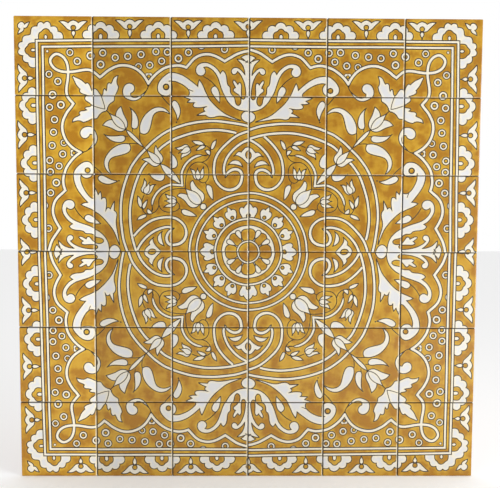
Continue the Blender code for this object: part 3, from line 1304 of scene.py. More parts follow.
class SheetCutter:
    """Cuts the stencil into the sheets of the tiles."""

    MARGIN = 6.0
    TURNS = (((1, 0), (0, 1)), ((0, 1), (-1, 0)), ((-1, 0), (0, -1)), ((0, -1), (1, 0)))
    FLIPS = (((0, 1), (1, 0)), ((-1, 0), (0, 1)), ((1, 0), (0, -1)), ((0, -1), (-1, 0)))

    def __init__(self, stencil: Stencil, size: TileSize) -> None:
        """Keep what is cut and to which size.

        Args:
            stencil: The whole painting.
            size: The tile.
        """
        self.stencil = stencil
        self.size = size

    def cut(self, column: int, row: int, hand: Hand) -> PaintedSheet:
        """Cut one tile's sheet.

        Args:
            column: How many tiles it is from the middle, sideways.
            row: How many tiles it is from the middle, upwards.
            hand: The half of the pattern it lies in; a left sheet is cut mirrored.

        Returns:
            The sheet, in millimetres from the tile's middle.
        """
        coats = self._coats(column, row, hand)
        spots, triangles = self._net([loop for _, loop in coats])
        middles = spots[triangles].mean(axis=1)
        paints = np.zeros(len(triangles), int)
        for paint, loop in coats:
            paints[covers(loop, middles)] = paint.value
        return PaintedSheet(spots, triangles, paints, self._rims(spots, triangles, paints))

    def _coats(self, column: int, row: int, hand: Hand) -> list[tuple[Paint, np.ndarray]]:
        """Give the outlines that reach the tile, in the order of painting, moved by its slip.

        A shape that is its own mirror image would come twice, and its box tells the second from the first.
        """
        middle = np.array([(column + 0.5) * STENCIL_TILE, (row + 0.5) * STENCIL_TILE])
        slip = Slip.of(column, row)
        way = -1.0 if hand is Hand.LEFT else 1.0
        angle = math.radians(slip.turn / 2.0) * way
        turn = np.array([[math.cos(angle), -math.sin(angle)], [math.sin(angle), math.cos(angle)]])
        shift = np.array([slip.x, slip.z]) / 2.0 * way
        scale = self.size.pitch / STENCIL_TILE
        reach = STENCIL_TILE / 2.0 + self.MARGIN
        found = []
        for coat in self.stencil.coats:
            images = self._images(coat.hand, hand)
            boxes = set()
            for loop in coat.loops:
                for image in images:
                    spots = loop @ image.T - middle
                    low = spots.min(axis=0)
                    high = spots.max(axis=0)
                    box = tuple(np.round([*low, *high], 2))
                    if np.all(low < reach) and np.all(high > -reach) and box not in boxes:
                        boxes.add(box)
                        found.append((coat.paint, (spots @ turn.T + shift) * scale))
        return found

    def _images(self, owner: Hand, hand: Hand) -> list[np.ndarray]:
        """Give the turns and mirrorings that bring a shape into view from one hand of the pattern."""
        turns = [np.array(t, float) for t in self.TURNS]
        flips = [np.array(f, float) for f in self.FLIPS]
        if owner is Hand.BOTH:
            return turns + flips
        return turns if owner is hand else flips

    def _net(self, loops: list[np.ndarray]) -> tuple[np.ndarray, np.ndarray]:
        """Net the square along all the outlines, with even points between them."""
        size = self.size
        starts = [np.concatenate(loops)]
        ends = [np.concatenate([np.roll(loop, -1, axis=0) for loop in loops])]
        for inset in size.border_steps:
            square = self._square(size.half - inset)
            starts.append(square)
            ends.append(np.roll(square, -1, axis=0))
        start, end = clipped(np.concatenate(starts), np.concatenate(ends), size.half)
        count = round(2.0 * size.half / size.grid)
        line = (np.arange(count) + 0.5) / count * 2.0 * size.half - size.half
        x, z = np.meshgrid(line, line)
        x = x + np.where(np.arange(count) % 2 == 0, 0.25, -0.25)[:, None] * size.grid
        grid = np.stack([x.ravel(), z.ravel()], axis=1)
        grid = grid[np.abs(grid).max(axis=1) < size.half - 3.0]
        points = np.round(np.concatenate([start, end, grid]), 3)
        pairs = np.stack([np.arange(len(start)), np.arange(len(start)) + len(start)], axis=1)
        points, number = np.unique(points, axis=0, return_inverse=True)
        pairs = number.ravel()[pairs]
        pairs = np.unique(np.sort(pairs[pairs[:, 0] != pairs[:, 1]], axis=1), axis=0)
        return flat_net(points, pairs)

    def _square(self, half: float) -> np.ndarray:
        """Give a square's points, close together at its corners.

        Args:
            half: Half its side.

        Returns:
            The points, counter-clockwise from the lower right corner.
        """
        size = self.size
        bend = half - (size.half - size.corner)
        near = np.linspace(0.0, bend, 4) if bend > 0.0 else np.zeros(1)
        inner = half - near[-1]
        steps = np.linspace(-inner, inner, round(2.0 * inner / size.grid) + 1)
        along = np.concatenate([-half + near[:-1], steps, (half - near[:-1])[::-1]])
        along = along[:-1]
        side = np.stack([np.full(len(along), half), along], axis=1)
        quarter = np.array([[0.0, 1.0], [-1.0, 0.0]])
        sides = [side]
        for _ in range(3):
            sides.append(sides[-1] @ quarter)
        return np.concatenate(sides)

    @staticmethod
    def _rims(spots: np.ndarray, triangles: np.ndarray, paints: np.ndarray) -> np.ndarray:
        """Measure how far each point is from the nearest change of paint.

        An edge shared by two triangles of different paint is such a change, and the distance is taken
        to the ends of those edges.
        """
        edges = np.sort(np.concatenate([triangles[:, [0, 1]], triangles[:, [1, 2]], triangles[:, [2, 0]]]), axis=1)
        owner = np.tile(paints, 3)
        order = np.lexsort(edges.T)
        edges = edges[order]
        owner = owner[order]
        shared = np.all(edges[1:] == edges[:-1], axis=1) & (owner[1:] != owner[:-1])
        changes = spots[np.unique(edges[1:][shared])]
        rims = np.empty(len(spots))
        points_at_once = 800
        for first in range(0, len(spots), points_at_once):
            block = slice(first, first + points_at_once)
            gap = spots[block, None, :] - changes[None, :, :]
            rims[block] = np.sqrt((gap**2).sum(axis=2).min(axis=1))
        return rims


class TileBody:
    """Puts a painted sheet on its clay: the rounded glaze edge, the leaning sides and the keyed back."""

    UV_FACE = 0.80
    UV_STRIP = 0.045
    # Dark joint line and painted shade, per side (right, top, left, bottom), at the border steps: heaviest on the left
    # and upper edges, which face away from the light.
    DARK_JOINT_AND_SHADE = (
        (1.0, 0.3, 0.0, 0.0, 0.0),
        (1.0, 1.0, 1.0, 0.5, 0.0),
        (1.0, 1.0, 1.0, 1.0, 0.3),
        (1.0, 0.8, 0.2, 0.0, 0.0),
    )
    # Painted highlight, per side (right, top, left, bottom), at the border steps: on the right and lower edges, where
    # the light catches the rounding.
    EDGE_HIGHLIGHT = (
        (1.0, 1.0, 1.0, 0.9, 0.0),
        (0.0, 0.0, 0.0, 0.0, 0.0),
        (0.0, 0.0, 0.0, 0.0, 0.0),
        (0.4, 0.4, 0.4, 0.3, 0.0),
    )

    def __init__(self, size: TileSize) -> None:
        """Keep the tile's sizes.

        Args:
            size: The tile.
        """
        self.size = size

    def mesh(
        self, name: str, sheet: PaintedSheet, centre: Spot, open_sides: tuple[bool, bool, bool, bool], seed: int
    ) -> bpy.types.Mesh:
        """Make one tile's closed mesh.

        Args:
            name: The mesh's name.
            sheet: Its painted sheet, turned as it lies in the panel.
            centre: The tile's middle in the panel, x and z in millimetres.
            open_sides: True for each side (right, top, left, bottom) with another tile beside it.
            seed: The number that its firing goes by.

        Returns:
            The mesh, in metres, at its place.
        """
        size = self.size
        flat = sheet.spots
        border, along = self._border(flat)
        rim_flat = flat[border]
        front_y = self._front(flat)
        front = self._placed(flat, self._inset(flat))
        rings = self._rings(rim_flat, along, open_sides, seed)
        back_flat, back_tris, back_border = self._back(rim_flat)
        back = self._placed(back_flat, np.full(len(back_flat), size.lean))
        back_y = self._grooves(back_flat)
        ring_points = np.concatenate(rings)
        vertices = np.concatenate(
            [
                np.stack([front[:, 0], front_y, front[:, 1]], axis=1),
                ring_points,
                np.stack([back[:, 0], back_y, back[:, 1]], axis=1),
            ]
        )
        vertices = vertices + np.array([centre[0], 0.0, centre[1]])
        first_ring = len(front)
        first_back = first_ring + len(ring_points)
        loops = [border] + [first_ring + k * len(border) + np.arange(len(border)) for k in range(len(rings))]
        loops.append(first_back + back_border)
        faces = [list(face) for face in sheet.triangles.tolist()]
        paints = [sheet.paints]
        for index in range(len(loops) - 1):
            upper = loops[index]
            lower = loops[index + 1]
            quads = np.stack([upper, lower, np.roll(lower, -1), np.roll(upper, -1)], axis=1)
            faces += quads.tolist()
            colour = Paint.OCHRE if index < 1 else Paint.CLAY
            paints.append(np.full(len(quads), colour.value))
        faces += (back_tris[:, ::-1] + first_back).tolist()
        paints.append(np.full(len(back_tris), Paint.CLAY.value))
        mesh = bpy.data.meshes.new(name)
        mesh.from_pydata((vertices * MM).tolist(), [], faces)
        mesh.polygons.foreach_set("material_index", np.concatenate(paints).astype(np.int32))
        mesh.update()
        self._note(mesh, "rim", np.concatenate([sheet.rims, np.full(len(vertices) - len(front), 6.0)]))
        self._note(mesh, "firing", np.full(len(vertices), self._firing(seed)))
        # Dark joint and painted shade: the sides beside a neighbour go dark inside the joint, and the face darkens at
        # its edges (attribute "gap").
        sides = np.tile(self._joint_share(rim_flat, open_sides, self.DARK_JOINT_AND_SHADE), len(rings))
        gap = [self._joint_share(flat, open_sides, self.DARK_JOINT_AND_SHADE), sides, np.zeros(len(back))]
        # Painted highlight along the face's right and lower edges (attribute "fill").
        fill = [self._joint_share(flat, open_sides, self.EDGE_HIGHLIGHT), np.zeros(len(vertices) - len(front))]
        self._note(mesh, "gap", np.concatenate(gap))
        self._note(mesh, "fill", np.concatenate(fill))
        counts = (len(sheet.triangles), len(quads) * (len(loops) - 1), len(back_tris))
        self._unwrap(mesh, vertices - np.array([centre[0], 0.0, centre[1]]), counts)
        smooth_faces = np.ones(len(mesh.polygons), bool)
        smooth_faces[counts[0] + counts[1] :] = False
        mesh.polygons.foreach_set("use_smooth", smooth_faces)
        return mesh

    @staticmethod
    def _firing(seed: int) -> float:
        """Give a tile's place between the palest and the deepest firing, from 0 to 1."""
        return (seed * 0.6180339887 + 0.11) % 1.0

    @staticmethod
    def _note(mesh: bpy.types.Mesh, name: str, values: np.ndarray) -> None:
        """Store one number for each point."""
        mesh.attributes.new(name, "FLOAT", "POINT").data.foreach_set("value", values.astype(np.float32))

    def _joint_share(
        self,
        flat: np.ndarray,
        open_sides: tuple[bool, bool, bool, bool],
        shares: Sequence[Sequence[float]],
    ) -> np.ndarray:
        """Give how strongly a joint table reaches each point of the face; the tables hold the dark joint line with its
        painted shade, and the painted highlight.

        Beside each neighbour the share falls with the distance from that side, along straight lines
        between the values at the border's steps; the strongest side counts.

        Args:
            flat: The face's points on the square.
            open_sides: Which sides (right, top, left, bottom) have a neighbour.
            shares: The values at those steps for each side.

        Returns:
            A share from 0 to 1 for each point.
        """
        h = self.size.half
        gone = np.stack([h - flat[:, 0], h - flat[:, 1], h + flat[:, 0], h + flat[:, 1]])
        found = np.zeros(len(flat))
        for distance, beside, share in zip(gone, open_sides, shares, strict=True):
            if beside:
                found = np.maximum(found, np.interp(distance, self.size.border_steps, share))
        return found

    def _border(self, flat: np.ndarray) -> tuple[np.ndarray, np.ndarray]:
        """Find the points on the square's edge, counter-clockwise from its lower right corner.

        Args:
            flat: The points.

        Returns:
            Their numbers, and how far along the edge each one is.
        """
        h = self.size.half
        found = np.flatnonzero(np.abs(flat).max(axis=1) > h - 1e-4)
        x, z = flat[found].T
        near = 1e-4
        along = np.select(
            [(x > h - near) & (z < h - near), (z > h - near) & (x > -h + near), (x < -h + near) & (z > -h + near)],
            [z + h, 2.0 * h + (h - x), 4.0 * h + (h - z)],
            6.0 * h + (x + h),
        )
        order = np.argsort(along)
        return found[order], along[order]

    def _inset(self, flat: np.ndarray) -> np.ndarray:
        """Give how far in from the tile's widest line each point of the face lies.

        Over the glaze's rounding the flat distance from the edge, d, is an arc's length: the point sits
        r (1 - cos a) in, where a is a right angle times d / r.
        """
        r = self.size.glaze_round
        d = self.size.half - np.abs(flat).max(axis=1)
        angle = np.clip(d / r, 0.0, 1.0) * math.pi / 2.0
        return np.where(d < r, r * (1.0 - np.cos(angle)), d)

    def _front(self, flat: np.ndarray) -> np.ndarray:
        """Give each point's depth: the face, dropping r (1 - sin a) over the rounding."""
        r = self.size.glaze_round
        d = self.size.half - np.abs(flat).max(axis=1)
        angle = np.clip(d / r, 0.0, 1.0) * math.pi / 2.0
        return -self.size.thickness + r * (1.0 - np.sin(angle))

    def _placed(self, flat: np.ndarray, inset: np.ndarray) -> np.ndarray:
        """Put points of the square on the tile's outline, whose corners are rounded.

        Away from the corners a point stands its inset in from the nearest side. In a corner's own small
        square the point at (p, q) goes to the corner radius less the inset, in the direction of (p, q).

        Args:
            flat: The points on the square.
            inset: How far in each one lies.

        Returns:
            The moved points.
        """
        h = self.size.half
        c = self.size.corner
        sign = np.where(flat < 0.0, -1.0, 1.0)
        size = np.abs(flat)
        widest = size[:, 0] >= size[:, 1]
        out = size.copy()
        out[widest, 0] = (h - inset)[widest]
        out[~widest, 1] = (h - inset)[~widest]
        corner = np.all(size > h - c, axis=1)
        local = size[corner] - (h - c)
        length = np.maximum(np.hypot(*local.T), 1e-9)
        radius = np.maximum(c - inset[corner], 0.0)
        out[corner] = (h - c) + local / length[:, None] * radius[:, None]
        return out * sign

    def _outward(self, flat: np.ndarray) -> np.ndarray:
        """Give the direction that faces out of the tile's side at points on the square's edge."""
        h = self.size.half
        c = self.size.corner
        sign = np.where(flat < 0.0, -1.0, 1.0)
        size = np.abs(flat)
        local = np.where(size > h - c, size - (h - c), 0.0)
        single = np.where(size >= h - 1e-4, 1.0, 0.0)
        corner = np.all(size > h - c, axis=1)
        way = np.where(corner[:, None], local, single)
        return sign * way / np.maximum(np.hypot(*way.T), 1e-9)[:, None]

    def _rings(
        self, rim: np.ndarray, along: np.ndarray, open_sides: tuple[bool, bool, bool, bool], seed: int
    ) -> list[np.ndarray]:
        """Carry the edge down the side, from the rounding to the back.

        The glaze ends in a wavering line, a sum of three sines of the way round. Beside another tile the
        side swells to all but touch it, as the joint's fill does; then it leans in to the back.

        Args:
            rim: The edge's points on the square.
            along: How far round each one is.
            open_sides: Which sides have a neighbour.
            seed: The number that the waver goes by.

        Returns:
            The rings' points, downwards.
        """
        size = self.size
        outward = self._outward(rim)
        beside = np.stack(
            [
                np.where(outward[:, 0] > 0.0, open_sides[0], open_sides[2]),
                np.where(outward[:, 1] > 0.0, open_sides[1], open_sides[3]),
            ],
            axis=1,
        )
        around = along / (8.0 * size.half) * math.tau
        waver = np.sin(5.0 * around + seed) + 0.7 * np.sin(13.0 * around + 2.3 * seed)
        waver += 0.5 * np.sin(29.0 * around + 1.7 * seed)
        edge = self._placed(rim, np.zeros(len(rim)))
        bare = size.thickness - size.glaze_round
        rings = []
        for depth, lean in ((1.3 + 0.4 * waver, 0.0), (size.belly_depth, 0.0), (bare - 1.2, 0.7), (bare - 0.3, 0.85)):
            swell = np.exp(-(((np.asarray(depth) - size.belly_depth) / 1.2) ** 2)) * size.belly
            place = edge + outward * beside * np.reshape(swell, (-1, 1)) - outward * lean * size.lean
            y = np.broadcast_to(-bare + depth, len(rim))
            rings.append(np.stack([place[:, 0], y, place[:, 1]], axis=1))
        return rings

    def _grooves(self, flat: np.ndarray) -> np.ndarray:
        """Give the back's depth at each point: pressed in where its grooves are.

        The distance into the nearest groove, from its edge, rises to the full depth over the groove's lean.
        """
        size = self.size
        into = np.full(len(flat), -1.0)
        for low, high in self._groove_spans():
            up = np.minimum(flat[:, 1] - low, high - flat[:, 1])
            across = size.half - size.groove_margin - np.abs(flat[:, 0])
            into = np.maximum(into, np.minimum(up, across))
        return -size.groove_depth * np.clip(into / size.groove_lean, 0.0, 1.0)

    def _groove_spans(self) -> list[tuple[float, float]]:
        """Give the lowest and highest z of each groove, in pairs outwards from the middle rib."""
        size = self.size
        spans = []
        start = size.groove_rib / 2.0
        while start + size.groove_width <= size.half - size.groove_margin:
            spans.append((start, start + size.groove_width))
            spans.append((-start - size.groove_width, -start))
            start += size.groove_width + size.groove_rib
        return spans

    def _back(self, rim: np.ndarray) -> tuple[np.ndarray, np.ndarray, np.ndarray]:
        """Net the back inside the edge's own points, along the grooves' edges.

        Args:
            rim: The edge's points on the square.

        Returns:
            The points, the triangles and the numbers of the edge's points, in their order.
        """
        size = self.size
        side = size.half - size.groove_margin
        starts = [rim]
        ends = [np.roll(rim, -1, axis=0)]
        for low, high in self._groove_spans():
            for inset in (0.0, size.groove_lean):
                box = np.array(
                    [
                        (side - inset, low + inset),
                        (side - inset, high - inset),
                        (inset - side, high - inset),
                        (inset - side, low + inset),
                    ]
                )
                starts.append(box)
                ends.append(np.roll(box, -1, axis=0))
        start = np.concatenate(starts)
        end = np.concatenate(ends)
        points, number = np.unique(np.round(np.concatenate([start, end]), 6), axis=0, return_inverse=True)
        pairs = number.ravel().reshape(2, -1).T
        spots, triangles = flat_net(points, pairs, 1e-7)
        border, _ = self._border(spots)
        return spots, triangles, border

    def _unwrap(self, mesh: bpy.types.Mesh, local: np.ndarray, counts: tuple[int, int, int]) -> None:
        """Lay the tile's map out: the face large, its four sides as strips above it, the back beside it.

        Args:
            mesh: The tile.
            local: Its points, in millimetres from its middle.
            counts: How many faces the front, the sides and the back have.
        """
        size = self.size
        corners = np.zeros(len(mesh.loops), np.int32)
        mesh.loops.foreach_get("vertex_index", corners)
        totals = np.zeros(len(mesh.polygons), np.int32)
        mesh.polygons.foreach_get("loop_total", totals)
        face = np.repeat(np.arange(len(mesh.polygons)), totals)
        point = local[corners]
        wide = 2.0 * size.half
        uv = np.empty((len(corners), 2))
        uv[:, 0] = 0.005 + (point[:, 0] / wide + 0.5) * (self.UV_FACE - 0.01)
        uv[:, 1] = 0.005 + (point[:, 2] / wide + 0.5) * (self.UV_FACE - 0.01)
        at_back = face >= counts[0] + counts[1]
        small = 1.0 - self.UV_FACE - 0.02
        uv[at_back, 0] = self.UV_FACE + 0.01 + (point[at_back, 0] / wide + 0.5) * small
        uv[at_back, 1] = 0.01 + (point[at_back, 2] / wide + 0.5) * small
        middles = np.zeros((len(mesh.polygons), 3))
        np.add.at(middles, face, point / totals[face][:, None])
        x, z = middles[:, 0], middles[:, 2]
        rightmost = (np.abs(x) >= np.abs(z)) & (x > 0.0)
        topmost = (np.abs(x) < np.abs(z)) & (z > 0.0)
        strip = np.select([rightmost, topmost, x < -np.abs(z)], [0, 1, 2], 3)
        at_side = (face >= counts[0]) & ~at_back
        across = np.where(strip[face] % 2 == 0, point[:, 2], point[:, 0])
        uv[at_side, 0] = 0.005 + (across[at_side] / wide + 0.5) * (self.UV_FACE - 0.01)
        height = (point[:, 1] + size.thickness) / size.thickness
        base = self.UV_FACE + 0.01 + strip[face] * self.UV_STRIP
        uv[at_side, 1] = (base + (1.0 - height) * (self.UV_STRIP - 0.01))[at_side]
        mesh.uv_layers.new(name="OFBake").data.foreach_set("uv", uv.ravel())


def linear(red: float, green: float, blue: float) -> tuple[float, float, float, float]:
    """Turn a screen colour, from 0 to 255, into the linear one that a shader takes.

    Args:
        red: Its red.
        green: Its green.
        blue: Its blue.

    Returns:
        The colour with full alpha.
    """
    share = np.array([red, green, blue]) / 255.0
    value = np.where(share <= 0.04045, share / 12.92, ((share + 0.055) / 1.055) ** 2.4)
    return (float(value[0]), float(value[1]), float(value[2]), 1.0)


class Sock:
    """A shader socket that adds a Math node for each operator used on it."""

    def __init__(self, bench: "Bench", socket: bpy.types.NodeSocket) -> None:
        """Wrap a socket.

        Args:
            bench: The bench whose tree it is in.
            socket: The socket.
        """
        self.bench = bench
        self.socket = socket

    def _math(self, operation: str, *values: "Sock | float") -> "Sock":
        """Add one Math node."""
        inputs = dict(enumerate(values))
        return self.bench.node("ShaderNodeMath", {"operation": operation}, inputs)

    def __add__(self, other: "Sock | float") -> "Sock":
        """Add."""
        return self._math("ADD", self, other)

    def __radd__(self, other: float) -> "Sock":
        """Add to a number."""
        return self._math("ADD", other, self)

    def __sub__(self, other: "Sock | float") -> "Sock":
        """Subtract."""
        return self._math("SUBTRACT", self, other)

    def __rsub__(self, other: float) -> "Sock":
        """Subtract from a number."""
        return self._math("SUBTRACT", other, self)

    def __mul__(self, other: "Sock | float") -> "Sock":
        """Multiply."""
        return self._math("MULTIPLY", self, other)

    def __rmul__(self, other: float) -> "Sock":
        """Multiply a number."""
        return self._math("MULTIPLY", other, self)

    def __truediv__(self, other: "Sock | float") -> "Sock":
        """Divide."""
        return self._math("DIVIDE", self, other)

    def clamped(self) -> "Sock":
        """Hold the value between 0 and 1."""
        return self._math("MINIMUM", self._math("MAXIMUM", self, 0.0), 1.0)


class Bench:
    """A node tree, with one way to add a node."""

    def __init__(self, tree: bpy.types.NodeTree) -> None:
        """Clear the tree.

        Args:
            tree: A material's or the world's tree.
        """
        self.tree = tree
        tree.nodes.clear()

    def add(self, kind: str, settings: dict[str, object], inputs: dict[str | int, object]) -> bpy.types.Node:
        """Add a node, set it up and feed it.

        Args:
            kind: The node's type.
            settings: Its settings, set before anything is fed.
            inputs: The value or link of each of its sockets.

        Returns:
            The node.
        """
        node = self.tree.nodes.new(kind)
        for key, value in settings.items():
            setattr(node, key, value)
        for key, value in inputs.items():
            self.feed(node.inputs[key], value)
        return node

    def node(
        self, kind: str, settings: dict[str, object], inputs: dict[str | int, object], output: str | int = 0
    ) -> Sock:
        """Add a node and hand on one of its outputs.

        Args:
            kind: The node's type.
            settings: Its settings.
            inputs: The value or link of each of its sockets.
            output: The output that is handed on.

        Returns:
            That output.
        """
        return Sock(self, self.add(kind, settings, inputs).outputs[output])

    def feed(self, socket: bpy.types.NodeSocket, value: object) -> None:
        """Link a socket or set its value.

        Args:
            socket: The socket.
            value: A Sock, or what it is set to.
        """
        if isinstance(value, Sock):
            self.tree.links.new(value.socket, socket)
        else:
            socket.default_value = value

    def place(self) -> Sock:
        """Give the point on the object, in metres."""
        return self.node("ShaderNodeTexCoord", {}, {}, "Object")

    def note(self, name: str) -> Sock:
        """Give a number stored on the mesh."""
        return self.node("ShaderNodeAttribute", {"attribute_name": name}, {}, "Fac")

    def noise(self, scale: float, detail: float, stretch: tuple[float, float, float] = (1.0, 1.0, 1.0)) -> Sock:
        """Give a cloudy pattern from 0 to 1.

        Args:
            scale: How many clouds to a metre.
            detail: How many finer ones are laid over them.
            stretch: How much each axis is multiplied by first.

        Returns:
            The pattern.
        """
        spot = self.node("ShaderNodeVectorMath", {"operation": "MULTIPLY"}, {0: self.place(), 1: stretch})
        return self.node("ShaderNodeTexNoise", {}, {"Vector": spot, "Scale": scale, "Detail": detail}, "Fac")

    def blend(self, share: Sock | float, first: object, second: object) -> Sock:
        """Mix two colours.

        Args:
            share: How much of the second.
            first: The first colour.
            second: The second colour.

        Returns:
            The mixed colour.
        """
        settings = {"data_type": "RGBA", "blend_type": "MIX", "clamp_factor": True}
        return self.node("ShaderNodeMix", settings, {"Factor": share, 6: first, 7: second}, 2)

    def bump(self, height: Sock, strength: float, distance: float) -> Sock:
        """Give the normal of a raised pattern.

        Args:
            height: The pattern.
            strength: How much it counts.
            distance: Its full height in metres.

        Returns:
            The normal.
        """
        return self.node("ShaderNodeBump", {}, {"Height": height, "Strength": strength, "Distance": distance}, "Normal")


class FinishBench(Bench):
    """A material's tree, with its Principled shader."""

    def __init__(self, name: str) -> None:
        """Start a material.

        Args:
            name: Its name.
        """
        self.material = bpy.data.materials.new(name)
        self.material.use_nodes = True
        super().__init__(self.material.node_tree)
        self.shader = self.add("ShaderNodeBsdfPrincipled", {}, {})
        self.add("ShaderNodeOutputMaterial", {}, {"Surface": Sock(self, self.shader.outputs["BSDF"])})

    def dress(self, colour: Sock, roughness: Sock | float, normal: Sock) -> bpy.types.Material:
        """Feed the shader.

        Args:
            colour: Its base colour.
            roughness: Its roughness.
            normal: Its normal.

        Returns:
            The material.
        """
        self.feed(self.shader.inputs["Base Color"], colour)
        self.feed(self.shader.inputs["Roughness"], roughness)
        self.feed(self.shader.inputs["Normal"], normal)
        return self.material


@dataclass(frozen=True)
class DarkJointShadeAndHighlight:
    """Painted light and shade at the joints: a pale lip of painted highlight on the right and lower edges, where the
    light catches the rounding, and a dark joint line with painted shade, heaviest on the left and upper edges.
    """

    highlight_colour: tuple[float, float, float] = (247.0, 234.0, 200.0)
    dark_joint_and_shade_colour: tuple[float, float, float] = (26.0, 17.0, 8.0)
    highlight_cover: float = 0.85
    dark_joint_and_shade_cover: float = 0.95

    def over(self, bench: Bench, colour: Sock) -> Sock:
        """Lay the painted highlight, and the dark joint line with its painted shade, over a colour.

        Args:
            bench: The finish's bench.
            colour: The colour.

        Returns:
            The marked colour.
        """
        # painted highlight: a pale cream lip where the light catches the tile edges, broken up by noise
        broken = ((bench.noise(70.0, 2.0) - 0.3) * 4.0).clamped()
        painted_highlight = bench.note("fill") * broken * self.highlight_cover
        colour = bench.blend(painted_highlight, colour, linear(*self.highlight_colour))
        # dark joint line, deepened by painted shade on the edges that face away from the light
        return bench.blend(bench.note("gap") * self.dark_joint_and_shade_cover, colour, linear(*self.dark_joint_and_shade_colour))


@dataclass(frozen=True)
class OchreGlaze:
    """The brushed ochre ground: browner in the open, yellower where it thins out beside a line."""

    open_colour: tuple[float, float, float] = (193.0, 138.0, 18.0)
    thin_colour: tuple[float, float, float] = (222.0, 178.0, 56.0)
    deep_colour: tuple[float, float, float] = (166.0, 108.0, 6.0)
    thin_reach: float = 4.5
    roughness: float = 0.16

    def material(self, marks: DarkJointShadeAndHighlight) -> bpy.types.Material:
        """Make the finish: soft brush streaks both ways, pooled clouds and a faint wave in the gloss."""
        bench = FinishBench("ochre_glaze")
        rim = (bench.note("rim") / self.thin_reach).clamped()
        colour = bench.blend(rim, linear(*self.thin_colour), linear(*self.open_colour))
        streak = bench.noise(40.0, 2.0, (1.0, 1.0, 1.7)) * 0.5 + bench.noise(40.0, 2.0, (1.7, 1.0, 1.0)) * 0.5
        cloud = bench.noise(30.0, 4.0)
        pooled = ((streak * 0.8 + cloud * 0.8 - 0.7) * 6.5).clamped()
        colour = bench.blend(pooled * 0.7, colour, linear(*self.deep_colour))
        bare = ((0.9 - streak * 0.9 - cloud * 0.6) * 4.5 - 0.4).clamped()
        colour = bench.blend(bare * 0.6, colour, linear(*self.thin_colour))
        colour = bench.blend(bench.note("firing") * 0.2, colour, linear(*self.deep_colour))
        fine = bench.noise(900.0, 2.0)
        colour = bench.blend((fine - 0.35) * 0.25, colour, linear(*self.thin_colour))
        wave = bench.noise(45.0, 1.0) + fine * 0.08
        return bench.dress(marks.over(bench, colour), self.roughness + cloud * 0.1, bench.bump(wave, 0.35, 0.0006))


@dataclass(frozen=True)
class TinGlaze:
    """The opaque white: cream along its edges and a cool milky white where it lies thick."""

    edge_colour: tuple[float, float, float] = (250.0, 241.0, 216.0)
    thick_colour: tuple[float, float, float] = (231.0, 231.0, 232.0)
    shade_colour: tuple[float, float, float] = (214.0, 212.0, 208.0)
    edge_reach: float = 3.4
    roughness: float = 0.14

    def material(self, marks: DarkJointShadeAndHighlight) -> bpy.types.Material:
        """Make the finish: two tones by the distance from the edge, with faint clouds."""
        bench = FinishBench("tin_white_glaze")
        rim = (bench.note("rim") / self.edge_reach - 0.36).clamped()
        colour = bench.blend(rim, linear(*self.edge_colour), linear(*self.thick_colour))
        cloud = bench.noise(38.0, 3.0)
        colour = bench.blend(((cloud - 0.4) * 1.6).clamped() * 0.4, colour, linear(*self.shade_colour))
        colour = bench.blend(bench.note("firing") * 0.12, colour, linear(*self.shade_colour))
        wave = bench.noise(45.0, 1.0) + bench.noise(900.0, 2.0) * 0.08
        return bench.dress(marks.over(bench, colour), self.roughness + cloud * 0.08, bench.bump(wave, 0.35, 0.0006))


@dataclass(frozen=True)
class PenLine:
    """The dark brown line drawn round every shape, dry in places."""

    dark_colour: tuple[float, float, float] = (24.0, 13.0, 1.0)
    dry_colour: tuple[float, float, float] = (80.0, 50.0, 6.0)
    roughness: float = 0.3

    def material(self, marks: DarkJointShadeAndHighlight) -> bpy.types.Material:
        """Make the finish: a dark pigment that thins to brown in clouds."""
        bench = FinishBench("pen_line")
        dry = ((bench.noise(120.0, 3.0) - 0.42) * 2.4).clamped()
        colour = bench.blend(dry * 0.6, linear(*self.dark_colour), linear(*self.dry_colour))
        normal = bench.bump(bench.noise(45.0, 1.0), 0.35, 0.0006)
        return bench.dress(marks.over(bench, colour), self.roughness + dry * 0.1, normal)


@dataclass(frozen=True)
class BiscuitClay:
    """The bare fired clay of the sides and the back."""

    pale_colour: tuple[float, float, float] = (206.0, 168.0, 132.0)
    red_colour: tuple[float, float, float] = (178.0, 128.0, 92.0)
    grit_colour: tuple[float, float, float] = (120.0, 84.0, 60.0)
    roughness: float = 0.82

    def material(self, marks: DarkJointShadeAndHighlight) -> bpy.types.Material:
        """Make the finish: pale and red clouds, grit and a sandy skin."""
        bench = FinishBench("biscuit_clay")
        cloud = bench.noise(22.0, 4.0)
        colour = bench.blend(((cloud - 0.35) * 3.0).clamped(), linear(*self.pale_colour), linear(*self.red_colour))
        grit = ((bench.noise(1400.0, 1.0) - 0.62) * 9.0).clamped()
        colour = bench.blend(grit * 0.7, colour, linear(*self.grit_colour))
        colour = bench.blend(bench.note("firing") * 0.25, colour, linear(*self.red_colour))
        skin = bench.noise(500.0, 5.0) + grit * 0.4
        return bench.dress(marks.over(bench, colour), self.roughness + cloud * 0.1, bench.bump(skin, 0.5, 0.0005))


